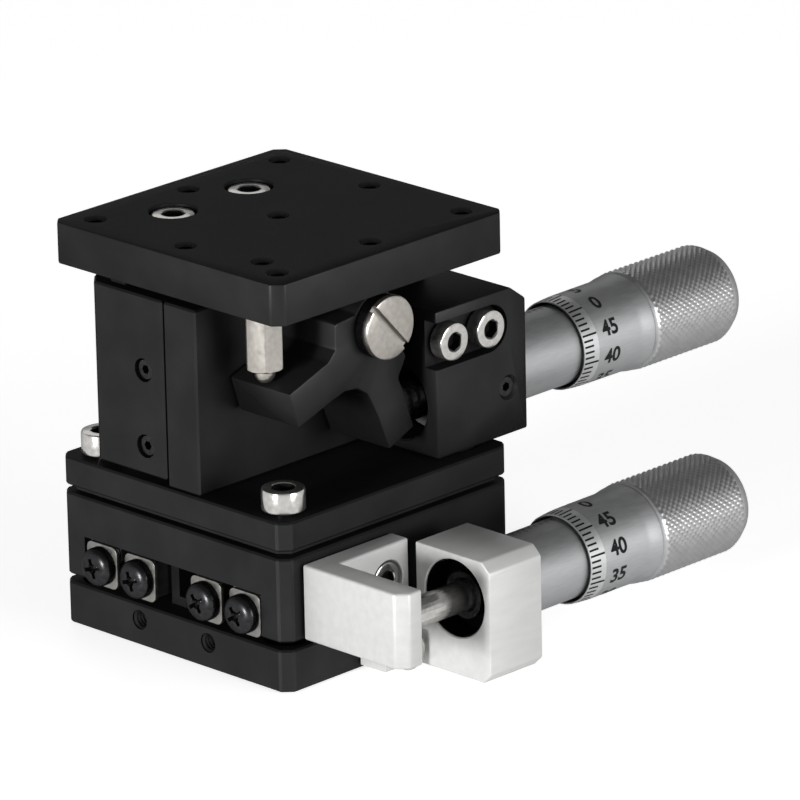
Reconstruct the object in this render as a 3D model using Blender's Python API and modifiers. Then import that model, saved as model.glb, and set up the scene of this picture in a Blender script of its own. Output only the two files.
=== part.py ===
"""Compact XZ bench stage: a lever-driven lift on a crossed-roller slide, each with a micrometer head.

Metres, +Z up. The origin is the centre of the base's underside. +X runs towards the thimbles.
"""
import math

import bmesh
import bpy
from mathutils import Matrix, Vector

# Plates
SIDE = 0.0400
HALF = SIDE / 2
CORNER = 0.0013
EDGE = 0.00025
SEAT_GAP = 0.0003
OVERRUN = 0.0010
WELD = 0.00001

# Crossed-roller guides, measured from the guide face of the fixed plate
RIB_HALF = 0.0033
RIB_HEIGHT = 0.0062
RAIL_LIFT = 0.0012
RAIL_HEIGHT = 0.0052
INNER_RAIL_WIDTH = 0.0046
OUTER_RAIL_WIDTH = 0.0054
RAIL_SPLIT = 0.0018
ROLLER_DIAMETER = 0.0020
ROLLER_LENGTH = 0.0019
ROLLER_PLAY = 0.0001
ROLLER_PITCH = 0.0032
CAGE_THICK = 0.0004
CAGE_HEIGHT = 0.0044
INNER_RAIL_START = RIB_HALF + SEAT_GAP
INNER_RAIL_END = INNER_RAIL_START + INNER_RAIL_WIDTH
OUTER_RAIL_START = INNER_RAIL_END + RAIL_SPLIT
OUTER_RAIL_END = OUTER_RAIL_START + OUTER_RAIL_WIDTH
CHANNEL_HALF = OUTER_RAIL_END + SEAT_GAP
CHANNEL_DEPTH = RAIL_LIFT + RAIL_HEIGHT + 2 * ROLLER_PLAY
RAIL_MID = RAIL_LIFT + RAIL_HEIGHT / 2
ROLLER_LINE = INNER_RAIL_END + RAIL_SPLIT / 2

# Return springs and their pins, in a groove along the rib
GROOVE_HALF = 0.0019
GROOVE_FLOOR = 0.0012
SPRING_RADIUS = 0.0012
SPRING_WIRE = 0.00020
SPRING_TURNS = 9
SPRING_STEPS = 8
SPRING_AXIS = 0.0036
PIN_RADIUS = 0.0006
PIN_HOLE = 0.0009
PIN_SINK = 0.0010

# Socket screws, M3
BOLT_SHANK = 0.0014
BOLT_HOLE = 0.0017
BOLT_HEAD = 0.00275
BOLT_HEAD_HEIGHT = 0.0028
BOLT_SOCKET = 0.00145
BOLT_SOCKET_DEPTH = 0.0014
BOLT_EDGE = 0.00030
LOW_HEAD = 0.0023
LOW_HEAD_HEIGHT = 0.0015
LOW_SOCKET = 0.0012
LOW_HEAD_ROOM = 0.0003
LOW_SOCKET_DEPTH = 0.0009
BORE_RADIUS = 0.0031
TAP_RADIUS = 0.0013

# Horizontal stage
X_BASE_THICK = 0.0055
X_RUN_GAP = 0.0010
X_TABLE_THICK = 0.0109
X_TABLE_BOTTOM = X_BASE_THICK + X_RUN_GAP
X_TABLE_TOP = X_TABLE_BOTTOM + X_TABLE_THICK
X_RAIL_INSET = 0.0009
X_RIB_INSET = 0.0030
X_RAIL_HALF = HALF - X_RAIL_INSET
X_RIB_HALF = HALF - X_RIB_INSET
X_CAGE_ROLLERS = 7
X_BASE_PIN = 0.0135
X_TABLE_PIN = -0.0095
MOUNT_INSET = 0.0040
MOUNT_PITCH = SIDE - 2 * MOUNT_INSET
BASE_BORE_DEPTH = 0.0033
SIDE_TAP_SPREAD = 0.0061
SIDE_TAP_HEIGHT = 0.0034
SIDE_TAP_DEPTH = 0.0050
PRELOAD_PITCH = 0.0100
PRELOAD_DEPTH = 0.0030

# End stops of the horizontal rails
STOP_WASHER_THICK = 0.0006
STOP_WASHER_HEIGHT = 0.0056
STOP_WASHER_WIDTH = 0.0054
STOP_WASHER_CORNER = 0.0008
STOP_HEAD = 0.0025
STOP_HEAD_HEIGHT = 0.0018
STOP_SHANK = 0.0008
STOP_SHANK_LENGTH = 0.0030
STOP_HOLE = 0.0011
STOP_HOLE_DEPTH = 0.0042
STOP_SLOT_WIDTH = 0.0006
STOP_SLOT_LENGTH = 0.0028
STOP_SLOT_DEPTH = 0.0007
STOP_DROP = 0.0003

# Drive bracket on the table's side
BRACKET_START = -0.0173
BRACKET_END = -0.0018
BRACKET_LEG_THICK = 0.0036
BRACKET_FLANGE_THICK = 0.0030
BRACKET_REACH = 0.0170
BRACKET_LIFT = 0.0066
BRACKET_HEIGHT = 0.0098
BRACKET_EDGE = 0.00035
BRACKET_SCREWS = (-0.0055, -0.0108)
BRACKET_SCREW_HEIGHT = 0.0118
BRACKET_BORE_DEPTH = 0.0019
BRACKET_BORE = 0.0026
BRACKET_SHANK_LENGTH = 0.0035

# Micrometer holder on the base's side
HOLDER_START = -0.0016
HOLDER_THICK = 0.0092
HOLDER_NEAR = 0.0042
HOLDER_WIDTH = 0.0127
HOLDER_LIFT = 0.0002
HOLDER_HEIGHT = 0.0159
HOLDER_CHAMFER = 0.0013
FOOT_REACH = 0.0060
FOOT_ROOT = 0.0004
FOOT_LIFT = 0.0004
FOOT_HEIGHT = 0.0052
FOOT_SCREW_INSET = 0.0030
FOOT_SHANK_LENGTH = 0.0062

# Micrometer heads, along their own axis from the thimble's rim
STEM_RADIUS = 0.00475
STEM_SOCKET = 0.00505
SLEEVE_RADIUS = 0.0052
NOSE_RADIUS = 0.0030
NOSE_LENGTH = 0.0030
SPINDLE_RADIUS = 0.00195
SPINDLE_BORE = 0.00225
RIM_RADIUS = 0.00580
BEVEL_RADIUS = 0.00600
BEVEL_LENGTH = 0.0025
BARREL_RADIUS = 0.00605
FLARE_LENGTH = 0.0030
GRIP_RADIUS = 0.00655
GRIP_LENGTH = 0.0151
CAP_RADIUS = 0.0056
CAP_LENGTH = 0.0012
THIMBLE_LENGTH = 0.0291
THIMBLE_BORE = 0.00560
THIMBLE_CAP = 0.0028
SPINDLE_GRIP = 0.0040
SPINDLE_SOCKET_DEPTH = THIMBLE_LENGTH - THIMBLE_CAP
THIMBLE_BORE_DEPTH = SPINDLE_SOCKET_DEPTH - SPINDLE_GRIP
GRIP_END = THIMBLE_LENGTH - CAP_LENGTH
GRIP_START = GRIP_END - GRIP_LENGTH
SLEEVE_OVERLAP = 0.0150
ROUND_STEPS = 32

# Horizontal micrometer
HOLDER_TOP_WALL = 0.00085
HOLDER_FRONT_WALL = 0.00105
X_AXIS_Y = -HALF - HOLDER_NEAR - HOLDER_WIDTH + HOLDER_FRONT_WALL + STEM_SOCKET
X_AXIS_HEIGHT = HOLDER_LIFT + HOLDER_HEIGHT - HOLDER_TOP_WALL - STEM_SOCKET
X_RIM = 0.0168
X_STEM_START = 0.0030

# Lift base plate, with the pad that it seats on
Z_GROOVE_HEIGHT = 0.00065
Z_GROOVE_DEPTH = 0.0009
Z_BASE_THICK = 0.00375
Z_BASE_BOTTOM = X_TABLE_TOP + SEAT_GAP + Z_GROOVE_HEIGHT
Z_BASE_TOP = Z_BASE_BOTTOM + Z_BASE_THICK
Z_BASE_TAP_DEPTH = 0.0049
LOW_SCREW_SHIFT = 0.0008

# Fixed column and moving carriage, front to back
COLUMN_FRONT = -0.0054
COLUMN_THICK = 0.0056
COLUMN_FACE = COLUMN_FRONT + COLUMN_THICK
CARRIAGE_GAP = 0.0003
CARRIAGE_WALL = 0.0076
CARRIAGE_BACK = COLUMN_FACE + CHANNEL_DEPTH + CARRIAGE_WALL
CARRIAGE_CORNER = 0.0020
PAD_INSET = 0.0015

# Micrometer block of the lift, from its bore outwards
BLOCK_START = 0.0091
BLOCK_LENGTH = 0.0160
BORE_BACK_WALL = 0.00025
BORE_FRONT_WALL = 0.00195
BORE_LOW_WALL = 0.00118
Z_AXIS_Y = COLUMN_FRONT - SEAT_GAP - BORE_BACK_WALL - STEM_SOCKET
Z_AXIS_HEIGHT = Z_BASE_TOP + SEAT_GAP + BORE_LOW_WALL + STEM_SOCKET
Z_RIM = 0.0369
Z_STEM_START = 0.0140
POCKET_HALF = 0.0031
POCKET_DEPTH = 0.0020
POCKET_END = 0.0186
POCKET_WALL = 0.00035
BLOCK_RIM = 0.0014
BLOCK_FRONT = Z_AXIS_Y - STEM_SOCKET - BORE_FRONT_WALL
BLOCK_SCREWS = (0.0121, 0.0186)
BLOCK_SCREW_HEIGHT = Z_AXIS_HEIGHT + STEM_SOCKET + POCKET_WALL + POCKET_HALF
BLOCK_TOP = BLOCK_SCREW_HEIGHT + POCKET_HALF + BLOCK_RIM
BLOCK_CHAMFER_X = 0.0027
BLOCK_CHAMFER_Z = 0.0020
BLOCK_HEAD = 0.00245
BLOCK_HEAD_HEIGHT = 0.0020
BLOCK_SHANK_LENGTH = 0.0138
CLAMP_INSET = 0.0034
CLAMP_X = BLOCK_START + BLOCK_LENGTH - CLAMP_INSET

# Heights of the column, the carriage and their rails
BLOCK_DROP = 0.0048
COLUMN_BOTTOM = Z_BASE_TOP + SEAT_GAP
COLUMN_TOP = BLOCK_TOP + BLOCK_DROP
CARRIAGE_LIFT = 0.0007
CARRIAGE_BOTTOM = COLUMN_BOTTOM + CARRIAGE_LIFT
LIFT_RAIL_LOW_INSET = 0.0012
LIFT_RAIL_HIGH_INSET = 0.0008
LIFT_RAIL_START = COLUMN_BOTTOM + LIFT_RAIL_LOW_INSET
LIFT_RAIL_END = COLUMN_TOP - LIFT_RAIL_HIGH_INSET
LIFT_CAGE_ROLLERS = 4
COLUMN_PIN_INSET = 0.0038
CARRIAGE_PIN_INSET = 0.0034
LIFT_COLUMN_PIN = COLUMN_BOTTOM + COLUMN_PIN_INSET
LIFT_CARRIAGE_PIN = COLUMN_TOP - CARRIAGE_PIN_INSET
HEAD_CLEARANCE = 0.0007
SET_SCREW_RADIUS = 0.00125
SET_SCREW_HOLE = 0.00155
SET_SCREW_SINK = 0.0004
SET_SCREW_LENGTH = HALF - CHANNEL_HALF - SET_SCREW_SINK
CLAMP_SCREW_LENGTH = 0.0015
SET_SCREW_HIGH_INSET = 0.0097
SET_SCREW_LOW_INSET = 0.0044
SET_SCREW_HEIGHTS = (COLUMN_TOP - SET_SCREW_HIGH_INSET, COLUMN_BOTTOM + SET_SCREW_LOW_INSET)

# Top plate
TOP_GAP = 0.0009
TOP_BOTTOM = COLUMN_TOP + TOP_GAP
TOP_THICK = 0.0054
TOP_TOP = TOP_BOTTOM + TOP_THICK
TOP_BORE_DEPTH = 0.0034
TOP_SCREW_MIDDLE = -0.0007
TOP_SCREW_SPREAD = 0.0066
TOP_SCREW_INSET = 0.0032
TOP_SCREW_Y = CARRIAGE_BACK - TOP_SCREW_INSET
TOP_SHANK_LENGTH = 0.0070

# Lever, its pivot and its outline about the pivot
PIVOT_X = 0.0008
PIVOT_DROP = 0.00454
PIVOT_HEIGHT = COLUMN_TOP - PIVOT_DROP
LEVER_THICK = 0.0104
LEVER_BACK = COLUMN_FRONT - SEAT_GAP
LEVER_FRONT = LEVER_BACK - LEVER_THICK
LEVER_BOSS = 0.0042
LEVER_DROP = PIVOT_HEIGHT - Z_AXIS_HEIGHT
ARM_TOP = (-0.01535, -0.00524)
ARM_UNDER = (-0.01386, -0.00993)
ARM_BEND = (-0.00856, -0.00281)
ARM_CURVE = (-0.00741, -0.00162)
ARM_SHOULDER = (-0.00720, 0.00179)
ARCH_LEFT = (-0.00851, -0.00811)
LOWER_ARM_X = (0.00494, 0.00353, 0.00458, 0.00602, 0.00168, -0.00018, -0.00186, -0.00361, -0.00583)
LOWER_ARM_SHARES = (0.4125, 0.5988, 0.7828, 1.1275, 1.2670, 0.9027, 0.6561, 0.5656, 0.5520)
LOWER_ARM = [(x, -share * LEVER_DROP) for x, share in zip(LOWER_ARM_X, LOWER_ARM_SHARES)]
FOOT_UPPER, FOOT_SIDE = LOWER_ARM[2], LOWER_ARM[3]
BOSS_STEPS = 8
PIVOT_SHANK = 0.0017
PIVOT_HOLE = 0.0020
PIVOT_HEAD = 0.0041
PIVOT_HEAD_THICK = 0.0021
PIVOT_SLOT_WIDTH = 0.0008
PIVOT_SLOT_DEPTH = 0.0007
PIVOT_SLOT_ANGLE = math.radians(48)
PIVOT_REACH = 0.0035

# Lift post that rides on the lever's upper arm
POST_X = -0.0142
POST_Y = -0.0115
POST_RADIUS = 0.0027
POST_TIP_RADIUS = 0.0014
POST_TIP_SHOW = 0.0013
POST_STUD = 0.0010
POST_STUD_LENGTH = 0.0040

# Surface finishes: colour, metallic, roughness
BLACK = ((0.022, 0.022, 0.024), 0.30, 0.50)
DARK_STEEL = ((0.060, 0.060, 0.062), 0.80, 0.40)
STEEL = ((0.62, 0.61, 0.58), 0.95, 0.28)
BRIGHT = ((0.80, 0.80, 0.79), 0.85, 0.35)
SATIN = ((0.52, 0.53, 0.54), 0.85, 0.38)
BRASS = ((0.62, 0.47, 0.20), 0.90, 0.35)

X_GUIDE = Matrix.Translation((0.0, 0.0, X_BASE_THICK))
Z_GUIDE = Matrix(((0, 1, 0, 0), (0, 0, 1, COLUMN_FACE), (1, 0, 0, 0), (0, 0, 0, 1)))
ALONG_X = Matrix.Rotation(math.radians(90), 4, "Y")
ALONG_MINUS_Y = Matrix.Rotation(math.radians(90), 4, "X")


def clear_scene():
    for obj in list(bpy.data.objects):
        bpy.data.objects.remove(obj, do_unlink=True)


def new_collection(name):
    collection = bpy.data.collections.new(name)
    bpy.context.scene.collection.children.link(collection)
    return collection


def set_finish(obj, finish):
    colour, metallic, roughness = finish
    material = bpy.data.materials.new(obj.name)
    material.use_nodes = True
    shader = material.node_tree.nodes["Principled BSDF"]
    shader.inputs["Base Color"].default_value = (*colour, 1.0)
    shader.inputs["Metallic"].default_value = metallic
    shader.inputs["Roughness"].default_value = roughness
    obj.data.materials.clear()
    obj.data.materials.append(material)


def finish_mesh(bm, name):
    bmesh.ops.recalc_face_normals(bm, faces=bm.faces)
    mesh = bpy.data.meshes.new(name)
    bm.to_mesh(mesh)
    bm.free()
    return mesh


def baked(obj):
    """The object's evaluated mesh, welded; the object itself is removed."""
    bpy.context.view_layer.update()
    graph = bpy.context.evaluated_depsgraph_get()
    bm = bmesh.new()
    raw = bpy.data.meshes.new_from_object(obj.evaluated_get(graph))
    bm.from_mesh(raw)
    bpy.data.meshes.remove(raw)
    bmesh.ops.remove_doubles(bm, verts=bm.verts, dist=WELD)
    mesh = finish_mesh(bm, obj.name)
    bpy.data.objects.remove(obj, do_unlink=True)
    return mesh


def box_mesh(name, low, high):
    bm = bmesh.new()
    bmesh.ops.create_cube(bm, size=1.0)
    low = Vector(low)
    high = Vector(high)
    bmesh.ops.scale(bm, vec=high - low, verts=bm.verts)
    bmesh.ops.translate(bm, vec=(low + high) / 2, verts=bm.verts)
    return finish_mesh(bm, name)


def outline_mesh(name, points, low, high):
    """A closed outline in the XY plane, filled, and extruded along Z from low to high."""
    curve = bpy.data.curves.new(name, "CURVE")
    curve.dimensions = "2D"
    curve.fill_mode = "BOTH"
    curve.extrude = (high - low) / 2
    spline = curve.splines.new("POLY")
    spline.points.add(len(points) - 1)
    for point, (x, y) in zip(spline.points, points):
        point.co = (x, y, 0.0, 1.0)
    spline.use_cyclic_u = True
    obj = bpy.data.objects.new(name, curve)
    obj.location.z = (low + high) / 2
    PIECES.objects.link(obj)
    mesh = baked(obj)
    mesh.transform(Matrix.Translation((0.0, 0.0, (low + high) / 2)))
    join_flat_faces(mesh)
    return mesh


def join_flat_faces(mesh):
    bm = bmesh.new()
    bm.from_mesh(mesh)
    bmesh.ops.dissolve_limit(bm, angle_limit=math.radians(1), verts=bm.verts, edges=bm.edges)
    bm.to_mesh(mesh)
    bm.free()


def turned_mesh(name, profile, steps=ROUND_STEPS, closed=False):
    """A profile of (radius, height) points, down its outer side, turned about Z."""
    mesh = bpy.data.meshes.new(name)
    count = len(profile)
    edges = [(i, i + 1) for i in range(count - 1)]
    if closed:
        edges.append((count - 1, 0))
    mesh.from_pydata([(radius, 0.0, height) for radius, height in profile], edges, [])
    obj = bpy.data.objects.new(name, mesh)
    PIECES.objects.link(obj)
    screw = obj.modifiers.new("turn", "SCREW")
    screw.steps = steps
    screw.render_steps = steps
    screw.use_merge_vertices = True
    screw.merge_threshold = WELD
    return baked(obj)


def drill_mesh(name, drills, sides=14):
    """Straight drills in one mesh: each a start point, an end point and a radius."""
    bm = bmesh.new()
    for start, end, radius in drills:
        start = Vector(start)
        run = Vector(end) - start
        turn = run.to_track_quat("Z", "Y").to_matrix().to_4x4()
        place = Matrix.Translation(start + run / 2) @ turn
        bmesh.ops.create_cone(bm, cap_ends=True, segments=sides, radius1=radius, radius2=radius,
                              depth=run.length, matrix=place)
    return finish_mesh(bm, name)


def add_piece(name, mesh, finish, place=Matrix(), bevel=0.0):
    obj = bpy.data.objects.new(name, mesh)
    PIECES.objects.link(obj)
    obj.matrix_world = place
    set_finish(obj, finish)
    if bevel:
        add_bevel(obj, bevel)
    return obj


def add_bevel(obj, width):
    bevel = obj.modifiers.new("edges", "BEVEL")
    bevel.width = width
    bevel.segments = 1
    bevel.limit_method = "ANGLE"
    bevel.angle_limit = math.radians(40)


def add_cutter(mesh, place=Matrix()):
    obj = bpy.data.objects.new(mesh.name, mesh)
    CUTTERS.objects.link(obj)
    obj.matrix_world = place
    obj.hide_render = True
    obj.display_type = "WIRE"
    return obj


def boolean(obj, mesh, operation="DIFFERENCE", place=Matrix()):
    step = obj.modifiers.new(mesh.name, "BOOLEAN")
    step.operation = operation
    step.solver = "EXACT"
    step.object = add_cutter(mesh, place)


def smooth(obj):
    obj.data.shade_smooth()
    obj.data.set_sharp_from_angle(angle=math.radians(35))


def carrier(name, location=(0.0, 0.0, 0.0), parent=None):
    empty = bpy.data.objects.new(name, None)
    PIECES.objects.link(empty)
    empty.empty_display_size = SIDE / 8
    empty.location = location
    if parent:
        empty.parent = parent
        empty.location = Vector(location) - origin_of(parent)
    return empty


def origin_of(empty):
    point = Vector(empty.location)
    while empty.parent:
        empty = empty.parent
        point += empty.location
    return point


def carry(empty, pieces):
    """Parents the pieces to the empty where they are."""
    back = Matrix.Translation(-origin_of(empty))
    for piece in pieces:
        piece.parent = empty
        piece.matrix_parent_inverse = back


def chamfered_square(half_x, half_y, corner):
    return [
        (half_x - corner, -half_y), (half_x, -half_y + corner),
        (half_x, half_y - corner), (half_x - corner, half_y),
        (-half_x + corner, half_y), (-half_x, half_y - corner),
        (-half_x, -half_y + corner), (-half_x + corner, -half_y),
    ]


def plate_mesh(name, bottom, top, half=HALF, corner=CORNER):
    return outline_mesh(name, chamfered_square(half, half, corner), bottom, top)


def corner_points(pitch):
    return [(sx * pitch / 2, sy * pitch / 2) for sx in (-1, 1) for sy in (-1, 1)]


# Screws


def cap_screw_mesh(name, head, head_height, shank, shank_length, socket_radius, socket_depth):
    """A socket screw whose head stands on z = 0 and whose shank runs down."""
    profile = [
        (0.0, head_height), (head - BOLT_EDGE, head_height), (head, head_height - BOLT_EDGE),
        (head, 0.0), (shank, 0.0), (shank, -shank_length), (0.0, -shank_length),
    ]
    body = add_piece(name, turned_mesh(name, profile, 16), STEEL)
    socket_top = head_height + OVERRUN
    socket_bottom = head_height - socket_depth
    socket = drill_mesh("socket", [((0, 0, socket_bottom), (0, 0, socket_top), socket_radius)], sides=6)
    boolean(body, socket)
    return baked(body)


def add_screws(names, mesh, places, finish=STEEL):
    return [add_piece(name, mesh.copy(), finish, place) for name, place in zip(names, places)]


def standing(x, y, z):
    return Matrix.Translation((x, y, z))


def facing_front(x, y, z):
    """Places a screw with its head towards -Y."""
    return Matrix.Translation((x, y, z)) @ ALONG_MINUS_Y


# Crossed-roller guides


def groove_depth():
    """How far the V of a rail goes in, so that a roller fits between two of them with its play."""
    channel_side = ROLLER_DIAMETER + 2 * ROLLER_PLAY
    return channel_side / math.sqrt(2) - RAIL_SPLIT / 2


def rail_mesh(name, start, end, low, high, groove_side):
    """A rail along X whose V groove is on the side given: 1 for its far side, -1 for its near side."""
    depth = groove_depth()
    middle = RAIL_MID
    face = end if groove_side > 0 else start
    back = start if groove_side > 0 else end
    section = [
        (back, RAIL_LIFT), (face, RAIL_LIFT), (face, middle - depth),
        (face - groove_side * depth, middle), (face, middle + depth),
        (face, RAIL_LIFT + RAIL_HEIGHT), (back, RAIL_LIFT + RAIL_HEIGHT),
    ]
    mesh = outline_mesh(name, section, low, high)
    mesh.transform(Matrix(((0, 0, 1, 0), (1, 0, 0, 0), (0, 1, 0, 0), (0, 0, 0, 1))))
    return mesh


def add_rails(stage, side, sign, guide, low, high):
    """The inner and the outer rail of one side of a guide."""
    turn = guide if sign > 0 else guide @ Matrix.Rotation(math.pi, 4, "Z")
    low_end, high_end = (low, high) if sign > 0 else (-high, -low)
    inner = rail_mesh("inner", INNER_RAIL_START, INNER_RAIL_END, low_end, high_end, 1)
    outer = rail_mesh("outer", OUTER_RAIL_START, OUTER_RAIL_END, low_end, high_end, -1)
    return (
        add_piece(f"{stage}_inner_rail_{side}", inner, DARK_STEEL, turn),
        add_piece(f"{stage}_outer_rail_{side}", outer, DARK_STEEL, turn),
    )


def roller_mesh(name, count, middle):
    """Crossed rollers in a row along X, each turned the other way from the last."""
    bm = bmesh.new()
    for index in range(count):
        tilt = math.radians(45 if index % 2 else -45)
        x = middle + (index - (count - 1) / 2) * ROLLER_PITCH
        place = Matrix.Translation((x, ROLLER_LINE, RAIL_MID)) @ Matrix.Rotation(tilt, 4, "X")
        bmesh.ops.create_cone(bm, cap_ends=True, segments=8, radius1=ROLLER_DIAMETER / 2,
                              radius2=ROLLER_DIAMETER / 2, depth=ROLLER_LENGTH, matrix=place)
    return finish_mesh(bm, name)


def add_rollers(stage, side, sign, guide, count, middle=0.0):
    """One roller strip: the retainer and the rollers that it holds."""
    turn = guide if sign > 0 else guide @ Matrix.Rotation(math.pi, 4, "Z")
    centre = middle if sign > 0 else -middle
    half_length = count * ROLLER_PITCH / 2
    low = (centre - half_length, ROLLER_LINE - CAGE_THICK / 2, RAIL_MID - CAGE_HEIGHT / 2)
    high = (centre + half_length, ROLLER_LINE + CAGE_THICK / 2, RAIL_MID + CAGE_HEIGHT / 2)
    strip = add_piece(f"{stage}_rollers_{side}", box_mesh("strip", low, high), BRASS, turn)
    boolean(strip, roller_mesh("rollers", count, centre), "UNION", turn)
    return strip


def spring_points(start, end):
    """A helix along X that closes in to its axis at both ends."""
    total = SPRING_TURNS * SPRING_STEPS
    points = [(start, 0.0, SPRING_AXIS)]
    for index in range(total + 1):
        share = (index + 1) / (total + 2)
        angle = 2 * math.pi * index / SPRING_STEPS
        y = SPRING_RADIUS * math.sin(angle)
        z = SPRING_AXIS + SPRING_RADIUS * math.cos(angle)
        points.append((start + share * (end - start), y, z))
    points.append((end, 0.0, SPRING_AXIS))
    return points


def add_spring(name, start, end, guide):
    curve = bpy.data.curves.new(name, "CURVE")
    curve.dimensions = "3D"
    curve.bevel_depth = SPRING_WIRE
    curve.bevel_resolution = 0
    curve.use_fill_caps = True
    points = spring_points(start, end)
    spline = curve.splines.new("POLY")
    spline.points.add(len(points) - 1)
    for point, place in zip(spline.points, points):
        point.co = (*place, 1.0)
    coil = bpy.data.objects.new(name, curve)
    PIECES.objects.link(coil)
    mesh = baked(coil)
    return add_piece(name, mesh, STEEL, guide)


def add_pin(name, along, low, high, guide):
    mesh = drill_mesh(name, [((along, 0, low), (along, 0, high), PIN_RADIUS)], sides=12)
    return add_piece(name, mesh, STEEL, guide)


def cut_spring_groove(obj, guide, low, high, pin):
    """The groove along the rib's top, and the hole that the fixed pin stands in."""
    groove_low = (low, -GROOVE_HALF, GROOVE_FLOOR)
    groove_high = (high, GROOVE_HALF, RIB_HEIGHT + OVERRUN)
    boolean(obj, box_mesh("spring_groove", groove_low, groove_high), place=guide)
    hole = ((pin, 0, GROOVE_FLOOR - PIN_SINK - SEAT_GAP), (pin, 0, GROOVE_FLOOR + OVERRUN), PIN_HOLE)
    boolean(obj, drill_mesh("pin_hole", [hole]), place=guide)


# Horizontal stage


def build_x_base():
    base = add_piece("x_base", plate_mesh("x_base", 0.0, X_BASE_THICK), BLACK, bevel=EDGE)
    rib_low = (-X_RIB_HALF, -RIB_HALF, X_BASE_THICK - OVERRUN)
    rib_high = (X_RIB_HALF, RIB_HALF, X_BASE_THICK + RIB_HEIGHT)
    boolean(base, box_mesh("rib", rib_low, rib_high), "UNION")
    groove_end = X_RIB_HALF + OVERRUN
    cut_spring_groove(base, X_GUIDE, -groove_end, groove_end, X_BASE_PIN)
    places = corner_points(MOUNT_PITCH)
    through = [((x, y, -OVERRUN), (x, y, X_BASE_THICK + OVERRUN), BOLT_HOLE) for x, y in places]
    floor = X_BASE_THICK - BASE_BORE_DEPTH
    bores = [((x, y, floor), (x, y, X_BASE_THICK + OVERRUN), BORE_RADIUS) for x, y in places]
    boolean(base, drill_mesh("base_holes", through))
    boolean(base, drill_mesh("base_bores", bores))
    taps = []
    for sx in (-1, 1):
        for sy in (-1, 1):
            mouth = (sx * (HALF + OVERRUN), sy * SIDE_TAP_SPREAD, SIDE_TAP_HEIGHT)
            end = (sx * (HALF - SIDE_TAP_DEPTH), sy * SIDE_TAP_SPREAD, SIDE_TAP_HEIGHT)
            taps.append((mouth, end, TAP_RADIUS))
    boolean(base, drill_mesh("side_taps", taps))
    foot_depth = FOOT_SHANK_LENGTH - HOLDER_NEAR + 2 * SEAT_GAP
    foot_taps = []
    for x in foot_screw_places():
        mouth = (x, -HALF - OVERRUN, foot_screw_height())
        end = (x, -HALF - OVERRUN + OVERRUN + foot_depth, foot_screw_height())
        foot_taps.append((mouth, end, BOLT_HOLE))
    boolean(base, drill_mesh("foot_taps", foot_taps))
    return base


def build_x_table():
    table = add_piece("x_table", plate_mesh("x_table", X_TABLE_BOTTOM, X_TABLE_TOP), BLACK, bevel=EDGE)
    ceiling = X_BASE_THICK + CHANNEL_DEPTH
    low = (-HALF - OVERRUN, -CHANNEL_HALF, X_TABLE_BOTTOM - OVERRUN)
    high = (HALF + OVERRUN, CHANNEL_HALF, ceiling)
    boolean(table, box_mesh("channel", low, high))
    pin_top = ceiling + PIN_SINK + SEAT_GAP
    taps = [((X_TABLE_PIN, 0, ceiling - OVERRUN), (X_TABLE_PIN, 0, pin_top), PIN_HOLE)]
    for x, y in open_screw_places() + [low_screw_place()]:
        taps.append(((x, y, X_TABLE_TOP - Z_BASE_TAP_DEPTH), (x, y, X_TABLE_TOP + OVERRUN), BOLT_HOLE))
    for x in BRACKET_SCREWS:
        depth = BRACKET_SHANK_LENGTH + 2 * SEAT_GAP
        taps.append(((x, -HALF - OVERRUN, BRACKET_SCREW_HEIGHT), (x, -HALF + depth, BRACKET_SCREW_HEIGHT),
                     BOLT_HOLE))
    for step in (-1, 0, 1):
        x = step * PRELOAD_PITCH
        height = X_BASE_THICK + RAIL_MID
        taps.append(((x, HALF - PRELOAD_DEPTH, height), (x, HALF + OVERRUN, height), SET_SCREW_HOLE))
    boolean(table, drill_mesh("table_taps", taps))
    return table


def stop_mesh():
    """A rail's end stop: a square washer and a cross-recessed screw, its head towards +Z."""
    half_width = STOP_WASHER_WIDTH / 2
    half_height = STOP_WASHER_HEIGHT / 2
    washer = outline_mesh("rail_stop", chamfered_square(half_width, half_height, STOP_WASHER_CORNER),
                          0.0, STOP_WASHER_THICK)
    stop = add_piece("rail_stop", washer, STEEL)
    top = STOP_WASHER_THICK + STOP_HEAD_HEIGHT
    shoulder = STOP_WASHER_THICK + STOP_HEAD_HEIGHT / 2
    profile = [
        (0.0, top), (STOP_HEAD * math.cos(math.radians(45)), top - STOP_HEAD_HEIGHT / 8),
        (STOP_HEAD, shoulder), (STOP_HEAD, STOP_WASHER_THICK / 2), (STOP_SHANK, STOP_WASHER_THICK / 2),
        (STOP_SHANK, -STOP_SHANK_LENGTH), (0.0, -STOP_SHANK_LENGTH),
    ]
    boolean(stop, turned_mesh("stop_screw", profile, 12), "UNION")
    half_long = STOP_SLOT_LENGTH / 2
    half_wide = STOP_SLOT_WIDTH / 2
    floor = top - STOP_SLOT_DEPTH
    for reach_x, reach_y in ((half_long, half_wide), (half_wide, half_long)):
        slot = box_mesh("cross", (-reach_x, -reach_y, floor), (reach_x, reach_y, top + OVERRUN))
        boolean(stop, slot)
    return baked(stop)


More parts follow.
